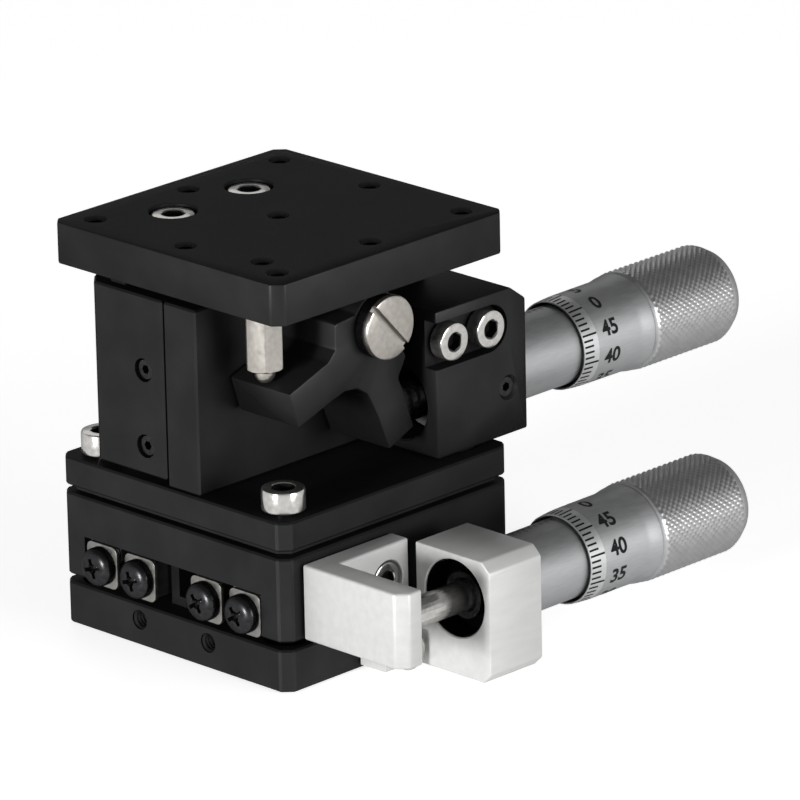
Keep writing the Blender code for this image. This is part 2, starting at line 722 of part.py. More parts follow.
def add_rail_stops(rails, offset, owner, mesh):
    """Stops on both ends of the pair of rails given, and the holes that their shanks go in."""
    stops = []
    height = X_BASE_THICK + RAIL_MID - STOP_DROP
    for side, sign, rail in rails:
        for end, end_sign in (("front", -1), ("rear", 1)):
            reach = X_RAIL_HALF + SEAT_GAP
            turn = Matrix.Rotation(end_sign * math.pi / 2, 4, "Y")
            spin = Matrix.Rotation(math.pi / 2, 4, "Z")
            place = Matrix.Translation((end_sign * reach, sign * offset, height)) @ turn @ spin
            stops.append(add_piece(f"{owner}_stop_{side}_{end}", mesh.copy(), STEEL, place))
            mouth = (end_sign * (X_RAIL_HALF + OVERRUN), sign * offset, height)
            floor = (end_sign * (X_RAIL_HALF - STOP_HOLE_DEPTH), sign * offset, height)
            boolean(rail, drill_mesh("stop_hole", [(mouth, floor, STOP_HOLE)], sides=12))
    return stops


def build_x_guide():
    inner = []
    outer = []
    for side, sign in (("left", 1), ("right", -1)):
        near, far = add_rails("x", side, sign, X_GUIDE, -X_RAIL_HALF, X_RAIL_HALF)
        inner.append((side, sign, near))
        outer.append((side, sign, far))
    mesh = stop_mesh()
    inner_stops = add_rail_stops(inner, (INNER_RAIL_START + INNER_RAIL_END) / 2, "inner", mesh)
    outer_stops = add_rail_stops(outer, (OUTER_RAIL_START + OUTER_RAIL_END) / 2, "outer", mesh)
    strips = [add_rollers("x", side, sign, X_GUIDE, X_CAGE_ROLLERS) for side, sign in (("left", 1), ("right", -1))]
    return (
        [rail for _, _, rail in inner] + inner_stops,
        [rail for _, _, rail in outer] + outer_stops,
        strips,
    )


def build_spring_set(stage, guide, fixed_pin, moving_pin, fixed_low):
    """A return spring between the pin on the fixed piece and the pin on the moving piece."""
    clear = PIN_RADIUS + SPRING_WIRE + SEAT_GAP
    start = min(fixed_pin, moving_pin) + clear
    end = max(fixed_pin, moving_pin) - clear
    spring = add_spring(f"{stage}_return_spring", start, end, guide)
    reach = SPRING_AXIS + SPRING_RADIUS
    fixed = add_pin(f"{stage}_spring_pin_fixed", fixed_pin, fixed_low, reach, guide)
    hang = SPRING_AXIS - SPRING_RADIUS
    moving = add_pin(f"{stage}_spring_pin_moving", moving_pin, hang, CHANNEL_DEPTH + PIN_SINK, guide)
    return spring, fixed, moving


def build_drive_bracket():
    back = -HALF - SEAT_GAP
    inner = back - BRACKET_FLANGE_THICK
    tip = back - BRACKET_REACH
    leg = BRACKET_START + BRACKET_LEG_THICK
    outline = [
        (BRACKET_START, back), (BRACKET_START, tip + CORNER), (BRACKET_START + CORNER, tip),
        (leg, tip), (leg, inner), (BRACKET_END, inner), (BRACKET_END, back),
    ]
    mesh = outline_mesh("drive_bracket", outline, BRACKET_LIFT, BRACKET_LIFT + BRACKET_HEIGHT)
    bracket = add_piece("drive_bracket", mesh, BRIGHT, bevel=BRACKET_EDGE)
    floor = inner + BRACKET_BORE_DEPTH
    height = BRACKET_SCREW_HEIGHT
    bores = [((x, inner - OVERRUN, height), (x, floor, height), BRACKET_BORE) for x in BRACKET_SCREWS]
    holes = [((x, inner - OVERRUN, height), (x, back + OVERRUN, height), BOLT_HOLE) for x in BRACKET_SCREWS]
    boolean(bracket, drill_mesh("bracket_holes", holes))
    boolean(bracket, drill_mesh("bracket_bores", bores))
    head_seat = floor - SEAT_GAP
    shank = head_seat * -1 - HALF + BRACKET_SHANK_LENGTH
    screw = cap_screw_mesh("bracket_screw", LOW_HEAD, LOW_HEAD_HEIGHT, BOLT_SHANK, shank, LOW_SOCKET,
                           LOW_SOCKET_DEPTH)
    places = [facing_front(x, head_seat, height) for x in BRACKET_SCREWS]
    names = [f"bracket_screw_{index}" for index in (1, 2)]
    return [bracket] + add_screws(names, screw, places)


def foot_screw_places():
    left = HOLDER_START - FOOT_REACH + FOOT_SCREW_INSET
    right = HOLDER_START + HOLDER_THICK + FOOT_REACH - FOOT_SCREW_INSET
    return left, right


def foot_screw_height():
    return HOLDER_LIFT + FOOT_HEIGHT / 2


def build_holder():
    """The micrometer holder: a bored block, and a foot that bolts to the base's side."""
    near = -HALF - HOLDER_NEAR
    far = near - HOLDER_WIDTH
    low = HOLDER_LIFT
    high = HOLDER_LIFT + HOLDER_HEIGHT
    outline = [
        (near, low), (near, high), (far + HOLDER_CHAMFER, high), (far, high - HOLDER_CHAMFER),
        (far, low + HOLDER_CHAMFER), (far + HOLDER_CHAMFER, low),
    ]
    mesh = outline_mesh("x_holder", outline, HOLDER_START, HOLDER_START + HOLDER_THICK)
    mesh.transform(Matrix(((0, 0, 1, 0), (1, 0, 0, 0), (0, 1, 0, 0), (0, 0, 0, 1))))
    holder = add_piece("x_holder", mesh, BRIGHT, bevel=EDGE)
    foot_low = (HOLDER_START - FOOT_REACH, near - FOOT_ROOT, HOLDER_LIFT + FOOT_LIFT)
    foot_high = (HOLDER_START + HOLDER_THICK + FOOT_REACH, -HALF - SEAT_GAP, HOLDER_LIFT + FOOT_HEIGHT)
    boolean(holder, box_mesh("foot", foot_low, foot_high), "UNION")
    bore = ((HOLDER_START - OVERRUN, X_AXIS_Y, X_AXIS_HEIGHT),
            (HOLDER_START + HOLDER_THICK + OVERRUN, X_AXIS_Y, X_AXIS_HEIGHT), STEM_SOCKET)
    boolean(holder, drill_mesh("holder_bore", [bore], sides=ROUND_STEPS))
    height = foot_screw_height()
    holes = [((x, near - OVERRUN, height), (x, -HALF + OVERRUN, height), BOLT_HOLE)
             for x in foot_screw_places()]
    boolean(holder, drill_mesh("foot_holes", holes))
    screw = cap_screw_mesh("foot_screw", LOW_HEAD, LOW_HEAD_HEIGHT, BOLT_SHANK, FOOT_SHANK_LENGTH,
                           LOW_SOCKET, LOW_SOCKET_DEPTH)
    seat = near - FOOT_ROOT - SEAT_GAP
    places = [facing_front(x, seat, height) for x in foot_screw_places()]
    return [holder] + add_screws(["holder_screw_1", "holder_screw_2"], screw, places)


# Micrometer heads


def sleeve_mesh(stem_start, shoulder, rim):
    """Stem and sleeve about Z, with a narrower nose, along which the spindle runs."""
    top = rim + SLEEVE_OVERLAP
    nose = stem_start - NOSE_LENGTH
    profile = [
        (SPINDLE_BORE, top), (SLEEVE_RADIUS, top), (SLEEVE_RADIUS, shoulder), (STEM_RADIUS, shoulder),
        (STEM_RADIUS, stem_start), (NOSE_RADIUS, stem_start), (NOSE_RADIUS, nose), (SPINDLE_BORE, nose),
    ]
    return turned_mesh("sleeve", profile, closed=True)


def thimble_mesh(rim):
    """The thimble about Z: a scale bevel, a barrel, a grip, and an end that holds the spindle."""
    end = rim + THIMBLE_LENGTH
    profile = [
        (0.0, end), (CAP_RADIUS, end), (GRIP_RADIUS, rim + GRIP_END), (GRIP_RADIUS, rim + GRIP_START),
        (BARREL_RADIUS, rim + GRIP_START - FLARE_LENGTH), (BEVEL_RADIUS, rim + BEVEL_LENGTH), (RIM_RADIUS, rim),
        (THIMBLE_BORE, rim), (THIMBLE_BORE, rim + THIMBLE_BORE_DEPTH), (SPINDLE_BORE, rim + THIMBLE_BORE_DEPTH),
        (SPINDLE_BORE, rim + SPINDLE_SOCKET_DEPTH), (0.0, rim + SPINDLE_SOCKET_DEPTH),
    ]
    return turned_mesh("thimble", profile)


def spindle_mesh(tip, rim):
    """The spindle about Z, with a round tip at its lower end."""
    top = rim + SPINDLE_SOCKET_DEPTH - SEAT_GAP
    centre = tip + SPINDLE_RADIUS
    steps = 6
    profile = [(0.0, top), (SPINDLE_RADIUS, top)]
    for index in range(steps):
        angle = math.pi / 2 * index / steps
        profile.append((SPINDLE_RADIUS * math.cos(angle), centre - SPINDLE_RADIUS * math.sin(angle)))
    profile.append((0.0, tip))
    return turned_mesh("spindle", profile, 24)


def build_micrometer(stage, stem_start, shoulder, rim, tip, y, height):
    place = Matrix.Translation((0.0, y, height)) @ ALONG_X
    sleeve = add_piece(f"{stage}_mic_sleeve", sleeve_mesh(stem_start, shoulder, rim), SATIN, place)
    spindle = add_piece(f"{stage}_mic_spindle", spindle_mesh(tip, rim), STEEL, place)
    thimble = add_piece(f"{stage}_mic_thimble", thimble_mesh(rim), SATIN, place)
    for piece in (sleeve, spindle, thimble):
        smooth(piece)
    return sleeve, spindle, thimble


# Lift


def low_screw_place():
    """Where the sunk screw under the micrometer block is."""
    return HALF - MOUNT_INSET - LOW_SCREW_SHIFT, -HALF + MOUNT_INSET + LOW_SCREW_SHIFT


def open_screw_places():
    return [(x, y) for x, y in corner_points(MOUNT_PITCH) if x < 0 or y > 0]


def build_z_base():
    mesh = plate_mesh("z_base", Z_BASE_BOTTOM, Z_BASE_TOP)
    base = add_piece("z_base", mesh, BLACK, bevel=EDGE)
    seat = X_TABLE_TOP + SEAT_GAP
    pad = plate_mesh("seat_pad", seat, Z_BASE_BOTTOM + EDGE, HALF - Z_GROOVE_DEPTH)
    boolean(base, pad, "UNION")
    low_x, low_y = low_screw_place()
    places = open_screw_places()
    holes = [((x, y, seat - OVERRUN), (x, y, Z_BASE_TOP + OVERRUN), BOLT_HOLE)
             for x, y in places + [(low_x, low_y)]]
    boolean(base, drill_mesh("z_base_holes", holes))
    floor = Z_BASE_TOP - LOW_HEAD_HEIGHT - LOW_HEAD_ROOM
    sunk = ((low_x, low_y, floor), (low_x, low_y, Z_BASE_TOP + OVERRUN), LOW_HEAD + SEAT_GAP)
    boolean(base, drill_mesh("sunk_bore", [sunk], sides=24))
    head_seat = Z_BASE_TOP + SEAT_GAP
    tap_floor = X_TABLE_TOP - Z_BASE_TAP_DEPTH + SEAT_GAP
    screw = cap_screw_mesh("z_base_screw", BOLT_HEAD, BOLT_HEAD_HEIGHT, BOLT_SHANK, head_seat - tap_floor,
                           BOLT_SOCKET, BOLT_SOCKET_DEPTH)
    screws = add_screws(["z_base_screw_1", "z_base_screw_2", "z_base_screw_3"], screw,
                        [standing(x, y, head_seat) for x, y in places])
    low = cap_screw_mesh("low_screw", LOW_HEAD, LOW_HEAD_HEIGHT, BOLT_SHANK, floor - tap_floor, LOW_SOCKET,
                         LOW_SOCKET_DEPTH)
    screws += add_screws(["z_base_low_screw"], low, [standing(low_x, low_y, floor + SEAT_GAP / 2)])
    return [base] + screws


def build_column():
    """The fixed upright: a plate with a rib behind it, and the pivot's and the block's threads."""
    low = (-HALF, COLUMN_FRONT, COLUMN_BOTTOM)
    high = (HALF, COLUMN_FACE, COLUMN_TOP)
    column = add_piece("z_column", box_mesh("z_column", low, high), BLACK, bevel=EDGE)
    rib_low = (-RIB_HALF, COLUMN_FACE - OVERRUN, COLUMN_BOTTOM)
    rib_high = (RIB_HALF, COLUMN_FACE + RIB_HEIGHT, COLUMN_TOP)
    boolean(column, box_mesh("rib", rib_low, rib_high), "UNION")
    cut_spring_groove(column, Z_GUIDE, COLUMN_BOTTOM + OVERRUN, COLUMN_TOP + OVERRUN, LIFT_COLUMN_PIN)
    pivot = ((PIVOT_X, COLUMN_FRONT - OVERRUN, PIVOT_HEIGHT),
             (PIVOT_X, COLUMN_FRONT + PIVOT_REACH + SEAT_GAP, PIVOT_HEIGHT), PIVOT_HOLE)
    drills = [pivot]
    block_reach = block_screw_end() + SEAT_GAP
    for x in BLOCK_SCREWS:
        drills.append(((x, COLUMN_FRONT - OVERRUN, BLOCK_SCREW_HEIGHT), (x, block_reach, BLOCK_SCREW_HEIGHT),
                       BOLT_HOLE))
    boolean(column, drill_mesh("column_taps", drills))
    return column


def block_screw_end():
    return BLOCK_FRONT + POCKET_DEPTH - SEAT_GAP + BLOCK_SHANK_LENGTH


def carriage_outline(front, inset=0.0):
    half = HALF - inset
    back = CARRIAGE_BACK - inset
    return [
        (-half, front), (half, front), (half, back - CARRIAGE_CORNER), (half - CARRIAGE_CORNER, back),
        (-half + CARRIAGE_CORNER, back), (-half, back - CARRIAGE_CORNER),
    ]


def build_carriage():
    """The moving upright: a channel round the column's rib, under the top plate."""
    front = COLUMN_FACE + CARRIAGE_GAP
    mesh = outline_mesh("z_carriage", carriage_outline(front), CARRIAGE_BOTTOM, COLUMN_TOP)
    carriage = add_piece("z_carriage", mesh, BLACK, bevel=EDGE)
    pad_front = COLUMN_FACE + CHANNEL_DEPTH + PAD_INSET
    pad = outline_mesh("top_pad", carriage_outline(pad_front, PAD_INSET), COLUMN_TOP - EDGE,
                       TOP_BOTTOM - SEAT_GAP)
    boolean(carriage, pad, "UNION")
    ceiling = COLUMN_FACE + CHANNEL_DEPTH
    channel = box_mesh("channel", (-CHANNEL_HALF, front - OVERRUN, CARRIAGE_BOTTOM - OVERRUN),
                       (CHANNEL_HALF, ceiling, TOP_BOTTOM))
    boolean(carriage, channel)
    head_room = Z_BASE_TOP + SEAT_GAP + BOLT_HEAD_HEIGHT + HEAD_CLEARANCE
    heads = [((x, MOUNT_PITCH / 2, CARRIAGE_BOTTOM - OVERRUN), (x, MOUNT_PITCH / 2, head_room),
              BOLT_HEAD + HEAD_CLEARANCE) for x in (-MOUNT_PITCH / 2, MOUNT_PITCH / 2)]
    boolean(carriage, drill_mesh("head_pockets", heads))
    pin_end = ceiling + PIN_SINK + SEAT_GAP
    drills = [((0, ceiling - OVERRUN, LIFT_CARRIAGE_PIN), (0, pin_end, LIFT_CARRIAGE_PIN), PIN_HOLE)]
    screw_end = top_screw_seat() - TOP_SHANK_LENGTH - SEAT_GAP
    for x in top_screw_places():
        drills.append(((x, TOP_SCREW_Y, screw_end), (x, TOP_SCREW_Y, TOP_TOP), BOLT_HOLE))
    for height in SET_SCREW_HEIGHTS:
        y = COLUMN_FACE + RAIL_MID
        drills.append(((-HALF - OVERRUN, y, height), (-CHANNEL_HALF + OVERRUN, y, height), SET_SCREW_HOLE))
    boolean(carriage, drill_mesh("carriage_taps", drills))
    return carriage


def set_screw_mesh(length):
    """A headless screw that stands on z = 0 with its socket up."""
    profile = [(0.0, length), (SET_SCREW_RADIUS, length), (SET_SCREW_RADIUS, 0.0), (0.0, 0.0)]
    body = add_piece("set_screw", turned_mesh("set_screw", profile, 16), DARK_STEEL)
    socket = ((0, 0, length / 3), (0, 0, length + OVERRUN), SET_SCREW_RADIUS / 2)
    boolean(body, drill_mesh("socket", [socket], sides=6))
    return baked(body)


def build_set_screws():
    y = COLUMN_FACE + RAIL_MID
    outward = Matrix.Rotation(-math.pi / 2, 4, "Y")
    places = [Matrix.Translation((-HALF + SET_SCREW_SINK + SET_SCREW_LENGTH, y, height)) @ outward
              for height in SET_SCREW_HEIGHTS]
    names = ["z_set_screw_upper", "z_set_screw_lower"]
    side_screws = add_screws(names, set_screw_mesh(SET_SCREW_LENGTH), places, DARK_STEEL)
    clamp_place = facing_front(CLAMP_X, BLOCK_FRONT + SET_SCREW_SINK + CLAMP_SCREW_LENGTH, Z_AXIS_HEIGHT)
    clamp = add_screws(["z_clamp_screw"], set_screw_mesh(CLAMP_SCREW_LENGTH), [clamp_place], DARK_STEEL)
    return side_screws, clamp


def build_z_guide():
    fixed = []
    moving = []
    strips = []
    middle = (LIFT_RAIL_START + LIFT_RAIL_END) / 2
    for side, sign in (("rear", 1), ("front", -1)):
        near, far = add_rails("z", side, sign, Z_GUIDE, LIFT_RAIL_START, LIFT_RAIL_END)
        fixed.append(near)
        moving.append(far)
        strips.append(add_rollers("z", side, sign, Z_GUIDE, LIFT_CAGE_ROLLERS, middle))
    return fixed, moving, strips


def boss_arc():
    """The round top of the lever about its pivot, from its left side over to its right."""
    start = math.radians(150)
    end = math.radians(-35)
    points = []
    for index in range(BOSS_STEPS + 1):
        angle = start + (end - start) * index / BOSS_STEPS
        points.append((LEVER_BOSS * math.cos(angle), LEVER_BOSS * math.sin(angle)))
    return points


def build_lever():
    """The bell crank: one arm under the post, one in front of the spindle, about the pivot."""
    outline = [ARM_UNDER, ARM_TOP, ARM_BEND, ARM_CURVE, ARM_SHOULDER]
    outline += boss_arc()
    outline += LOWER_ARM + [ARCH_LEFT]
    mesh = outline_mesh("lever", outline, 0.0, LEVER_THICK)
    lever = add_piece("lever", mesh, BLACK, facing_front(PIVOT_X, LEVER_BACK, PIVOT_HEIGHT), bevel=EDGE)
    hole = ((PIVOT_X, LEVER_BACK + OVERRUN, PIVOT_HEIGHT), (PIVOT_X, LEVER_FRONT - OVERRUN, PIVOT_HEIGHT),
            PIVOT_HOLE)
    boolean(lever, drill_mesh("pivot_hole", [hole]))
    return lever


def build_lever_screw():
    seat = LEVER_FRONT - SEAT_GAP
    shank = COLUMN_FRONT + PIVOT_REACH - seat
    profile = [
        (0.0, PIVOT_HEAD_THICK), (PIVOT_HEAD - BOLT_EDGE, PIVOT_HEAD_THICK),
        (PIVOT_HEAD, PIVOT_HEAD_THICK - BOLT_EDGE), (PIVOT_HEAD, 0.0), (PIVOT_SHANK, 0.0),
        (PIVOT_SHANK, -shank), (0.0, -shank),
    ]
    place = facing_front(PIVOT_X, seat, PIVOT_HEIGHT)
    screw = add_piece("lever_screw", turned_mesh("lever_screw", profile, 36), STEEL, place)
    reach = PIVOT_HEAD + OVERRUN
    half = PIVOT_SLOT_WIDTH / 2
    slot = box_mesh("slot", (-reach, -half, PIVOT_HEAD_THICK - PIVOT_SLOT_DEPTH),
                    (reach, half, PIVOT_HEAD_THICK + OVERRUN))
    boolean(screw, slot, place=place @ Matrix.Rotation(-PIVOT_SLOT_ANGLE, 4, "Z"))
    smooth(screw)
    return screw


def outward_normal(start, end):
    """The unit normal on the left of the line from start to end."""
    run = Vector(end) - Vector(start)
    return Vector((-run.y, run.x)).normalized()


def post_tip_height():
    """Height of the post's round tip over the lever's upper arm, one seat gap off it."""
    normal = outward_normal(ARM_TOP, ARM_BEND)
    reach = normal.dot(Vector(ARM_TOP)) + POST_TIP_RADIUS + SEAT_GAP
    return PIVOT_HEIGHT + (reach - normal.x * (POST_X - PIVOT_X)) / normal.y


def spindle_tip_place():
    """Where the lift spindle's tip ends, one seat gap off the lever's lower arm."""
    normal = outward_normal(FOOT_UPPER, FOOT_SIDE)
    reach = normal.dot(Vector(FOOT_UPPER)) + SPINDLE_RADIUS + SEAT_GAP
    centre = PIVOT_X + (reach - normal.y * (Z_AXIS_HEIGHT - PIVOT_HEIGHT)) / normal.x
    return centre - SPINDLE_RADIUS


def build_post():
    """A hexagonal post with a round tip, and a stud up into the top plate."""
    tip_centre = post_tip_height()
    bottom = tip_centre - POST_TIP_RADIUS + POST_TIP_SHOW
    top = TOP_BOTTOM - SEAT_GAP
    hexagon = [(POST_RADIUS * math.cos(math.radians(60 * index)), POST_RADIUS * math.sin(math.radians(60 * index)))
               for index in range(6)]
    place = standing(POST_X, POST_Y, 0.0)
    post = add_piece("lift_post", outline_mesh("lift_post", hexagon, bottom, top), STEEL, place)
    steps = 6
    profile = [(0.0, bottom + POST_TIP_RADIUS), (POST_TIP_RADIUS, bottom + POST_TIP_RADIUS)]
    for index in range(steps):
        angle = math.pi / 2 * index / steps
        profile.append((POST_TIP_RADIUS * math.cos(angle), tip_centre - POST_TIP_RADIUS * math.sin(angle)))
    profile.append((0.0, tip_centre - POST_TIP_RADIUS))
    boolean(post, turned_mesh("tip", profile, 20), "UNION", place)
    stud = ((0, 0, top - OVERRUN), (0, 0, top + POST_STUD_LENGTH), POST_STUD)
    boolean(post, drill_mesh("stud", [stud], sides=16), "UNION", place)
    return post


def build_block():
    """The micrometer block of the lift, its pocket and its screws."""
    end = BLOCK_START + BLOCK_LENGTH
    bottom = Z_BASE_TOP + SEAT_GAP
    back = COLUMN_FRONT - SEAT_GAP
    outline = [
        (BLOCK_START, bottom), (end, bottom), (end, BLOCK_TOP - BLOCK_CHAMFER_Z),
        (end - BLOCK_CHAMFER_X, BLOCK_TOP), (BLOCK_START, BLOCK_TOP),
    ]
    mesh = outline_mesh("z_block", outline, -back, -BLOCK_FRONT)
    mesh.transform(ALONG_MINUS_Y)
    block = add_piece("z_block", mesh, BLACK, bevel=EDGE)
    floor = BLOCK_FRONT + POCKET_DEPTH
    pocket_low = (BLOCK_START - OVERRUN, BLOCK_FRONT - OVERRUN, BLOCK_SCREW_HEIGHT - POCKET_HALF)
    pocket_high = (POCKET_END, floor, BLOCK_SCREW_HEIGHT + POCKET_HALF)
    boolean(block, box_mesh("pocket", pocket_low, pocket_high))
    round_end = ((POCKET_END, BLOCK_FRONT - OVERRUN, BLOCK_SCREW_HEIGHT),
                 (POCKET_END, floor, BLOCK_SCREW_HEIGHT), POCKET_HALF)
    boolean(block, drill_mesh("pocket_end", [round_end]))
    drills = [((x, BLOCK_FRONT, BLOCK_SCREW_HEIGHT), (x, back + OVERRUN, BLOCK_SCREW_HEIGHT), BOLT_HOLE)
              for x in BLOCK_SCREWS]
    boolean(block, drill_mesh("block_holes", drills))
    bore = ((BLOCK_START - OVERRUN, Z_AXIS_Y, Z_AXIS_HEIGHT), (end + OVERRUN, Z_AXIS_Y, Z_AXIS_HEIGHT),
            STEM_SOCKET)
    boolean(block, drill_mesh("block_bore", [bore], sides=ROUND_STEPS))
    clamp = ((CLAMP_X, BLOCK_FRONT - OVERRUN, Z_AXIS_HEIGHT), (CLAMP_X, Z_AXIS_Y - STEM_RADIUS, Z_AXIS_HEIGHT),
             SET_SCREW_HOLE)
    boolean(block, drill_mesh("clamp_hole", [clamp]))
    screw = cap_screw_mesh("block_screw", BLOCK_HEAD, BLOCK_HEAD_HEIGHT, BOLT_SHANK, BLOCK_SHANK_LENGTH,
                           LOW_SOCKET, BOLT_SOCKET_DEPTH)
    places = [facing_front(x, floor - SEAT_GAP, BLOCK_SCREW_HEIGHT) for x in BLOCK_SCREWS]
    return [block] + add_screws(["z_block_screw_1", "z_block_screw_2"], screw, places)


def top_screw_places():
    return TOP_SCREW_MIDDLE - TOP_SCREW_SPREAD, TOP_SCREW_MIDDLE + TOP_SCREW_SPREAD


def top_screw_seat():
    return TOP_TOP - TOP_BORE_DEPTH + SEAT_GAP


def build_top_plate():
    plate = add_piece("top_plate", plate_mesh("top_plate", TOP_BOTTOM, TOP_TOP), BLACK, bevel=EDGE)
    low = TOP_BOTTOM - OVERRUN
    high = TOP_TOP + OVERRUN
    half_pitch = MOUNT_PITCH / 2
    taps = [((sx * half_pitch, sy * half_pitch, low), (sx * half_pitch, sy * half_pitch, high), TAP_RADIUS)
            for sx in (-1, 0, 1) for sy in (-1, 0, 1)]
    taps.append(((POST_X, POST_Y, low), (POST_X, POST_Y, high), TAP_RADIUS))
    boolean(plate, drill_mesh("top_taps", taps, sides=16))
    places = top_screw_places()
    holes = [((x, TOP_SCREW_Y, low), (x, TOP_SCREW_Y, high), BOLT_HOLE) for x in places]
    boolean(plate, drill_mesh("top_holes", holes))
    floor = TOP_TOP - TOP_BORE_DEPTH
    bores = [((x, TOP_SCREW_Y, floor), (x, TOP_SCREW_Y, high), BORE_RADIUS) for x in places]
    boolean(plate, drill_mesh("top_bores", bores, sides=28))
    screw = cap_screw_mesh("top_screw", BOLT_HEAD, BOLT_HEAD_HEIGHT, BOLT_SHANK, TOP_SHANK_LENGTH,
                           BOLT_SOCKET, BOLT_SOCKET_DEPTH)
    screws = add_screws(["top_screw_1", "top_screw_2"], screw,
                        [standing(x, TOP_SCREW_Y, top_screw_seat()) for x in places])
    return [plate] + screws


# Assembly


def build_horizontal_stage():
    """The slide: returns the empty that carries all that moves along X."""
    base_pieces = [build_x_base()]
    table_pieces = [build_x_table()]
    inner, outer, strips = build_x_guide()
    fixed_low = GROOVE_FLOOR - PIN_SINK
    spring, fixed_pin, moving_pin = build_spring_set("x", X_GUIDE, X_BASE_PIN, X_TABLE_PIN, fixed_low)
    base_pieces += inner + [spring, fixed_pin]
    table_pieces += outer + [moving_pin]
    table_pieces += build_drive_bracket()
    base_pieces += build_holder()
    tip = BRACKET_START + BRACKET_LEG_THICK + SEAT_GAP
    shoulder = HOLDER_START + HOLDER_THICK + SEAT_GAP
    sleeve, spindle, thimble = build_micrometer("x", X_STEM_START, shoulder, X_RIM, tip, X_AXIS_Y,
                                                X_AXIS_HEIGHT)
    base_pieces.append(sleeve)
    base = carrier("base_frame")
    table = carrier("table_slide", (0.0, 0.0, X_BASE_THICK), base)
    carry(base, base_pieces)
    carry(table, table_pieces)
    carry(carrier("x_roller_slide", (0.0, 0.0, X_BASE_THICK), base), strips)
    feed = carrier("x_spindle_slide", (X_RIM, X_AXIS_Y, X_AXIS_HEIGHT), base)
    carry(feed, [spindle])
    carry(carrier("x_thimble_axis", (X_RIM, X_AXIS_Y, X_AXIS_HEIGHT), feed), [thimble])
    return table


def build_lift(table):
    fixed = build_z_base() + [build_column()] + build_block()
    rails, moving_rails, strips = build_z_guide()
    fixed_low = GROOVE_FLOOR - PIN_SINK
    spring, fixed_pin, moving_pin = build_spring_set("z", Z_GUIDE, LIFT_COLUMN_PIN, LIFT_CARRIAGE_PIN, fixed_low)
    set_screws, clamp = build_set_screws()
    shoulder = BLOCK_START + BLOCK_LENGTH + SEAT_GAP
    sleeve, spindle, thimble = build_micrometer("z", Z_STEM_START, shoulder, Z_RIM, spindle_tip_place(),
                                                Z_AXIS_Y, Z_AXIS_HEIGHT)
    fixed += rails + [spring, fixed_pin, sleeve, build_lever_screw()] + clamp
    carry(table, fixed)
    moving = [build_carriage(), moving_pin, build_post()] + moving_rails + set_screws + build_top_plate()
    carry(carrier("lift_slide", (0.0, COLUMN_FACE, COLUMN_BOTTOM), table), moving)
    carry(carrier("z_roller_slide", (0.0, COLUMN_FACE, COLUMN_BOTTOM), table), strips)
    carry(carrier("lever_axis", (PIVOT_X, LEVER_BACK, PIVOT_HEIGHT), table), [build_lever()])
    feed = carrier("z_spindle_slide", (Z_RIM, Z_AXIS_Y, Z_AXIS_HEIGHT), table)
    carry(feed, [spindle])
    carry(carrier("z_thimble_axis", (Z_RIM, Z_AXIS_Y, Z_AXIS_HEIGHT), feed), [thimble])


clear_scene()
PIECES = new_collection("vertical_lift_stage")
CUTTERS = new_collection("cutters")
build_lift(build_horizontal_stage())
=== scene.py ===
import math

import bmesh
import bpy
from mathutils import Matrix, Vector


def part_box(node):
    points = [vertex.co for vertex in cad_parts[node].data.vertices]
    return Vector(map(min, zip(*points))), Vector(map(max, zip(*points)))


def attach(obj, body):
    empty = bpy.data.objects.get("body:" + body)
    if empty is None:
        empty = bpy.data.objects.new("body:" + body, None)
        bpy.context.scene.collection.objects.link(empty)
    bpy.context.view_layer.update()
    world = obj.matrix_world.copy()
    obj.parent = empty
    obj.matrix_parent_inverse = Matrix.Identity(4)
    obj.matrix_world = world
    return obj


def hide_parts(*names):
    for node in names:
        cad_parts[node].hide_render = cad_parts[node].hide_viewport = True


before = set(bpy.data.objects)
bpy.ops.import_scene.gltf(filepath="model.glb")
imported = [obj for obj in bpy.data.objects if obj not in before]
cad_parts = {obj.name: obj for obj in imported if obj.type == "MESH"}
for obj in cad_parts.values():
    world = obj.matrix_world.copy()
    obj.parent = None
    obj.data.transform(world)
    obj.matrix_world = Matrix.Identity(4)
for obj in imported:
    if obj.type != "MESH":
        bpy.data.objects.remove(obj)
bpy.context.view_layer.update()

# Places and sizes that repeat the part's own values, in metres
X_HEAD = (-0.0308, 0.0102, 0.0168)
Z_HEAD = (-0.0110, 0.02863, 0.0369)
X_STEM_START = 0.0030
Z_STEM_START = 0.0140
HOLDER_FACE = 0.0079
BLOCK_FACE = 0.0254
PIVOT = (0.0008, 0.04189)
LEVER_BACK = -0.0057
LEVER_THICK = 0.0104
HALF = 0.0200
CORNER = 0.0013
TOP_LOW = 0.04733
TOP_HIGH = 0.05273
TAP_RADIUS = 0.00128
TAP_PITCH = 0.0005
TAP_SPACING = 0.016
POST_TAP = (-0.0142, -0.0115)
SIDE_TAP_Y = 0.0061
SIDE_TAP_Z = 0.0034
CLEARANCE = 0.0017
TOP_SCREW_X = (-0.0073, 0.0059)
TOP_SCREW_Y = 0.0112
BLOCK_FRONT = -0.0180
POCKET_FLOOR = -0.0160
BLOCK_SCREW_X = (0.0121, 0.0186)
BLOCK_SCREW_Z = 0.03713
POCKET_RADIUS = 0.0031
CLAMP_X = 0.0217
STEM_BORE = 0.00505
FOOT_FRONT = -0.0246
FOOT_SCREW_X = (-0.0046, 0.0106)
FOOT_SCREW_Z = 0.0028
BRACKET_FRONT = -0.0233
BRACKET_SCREW_X = (-0.0055, -0.0108)
BRACKET_SCREW_Z = 0.0118

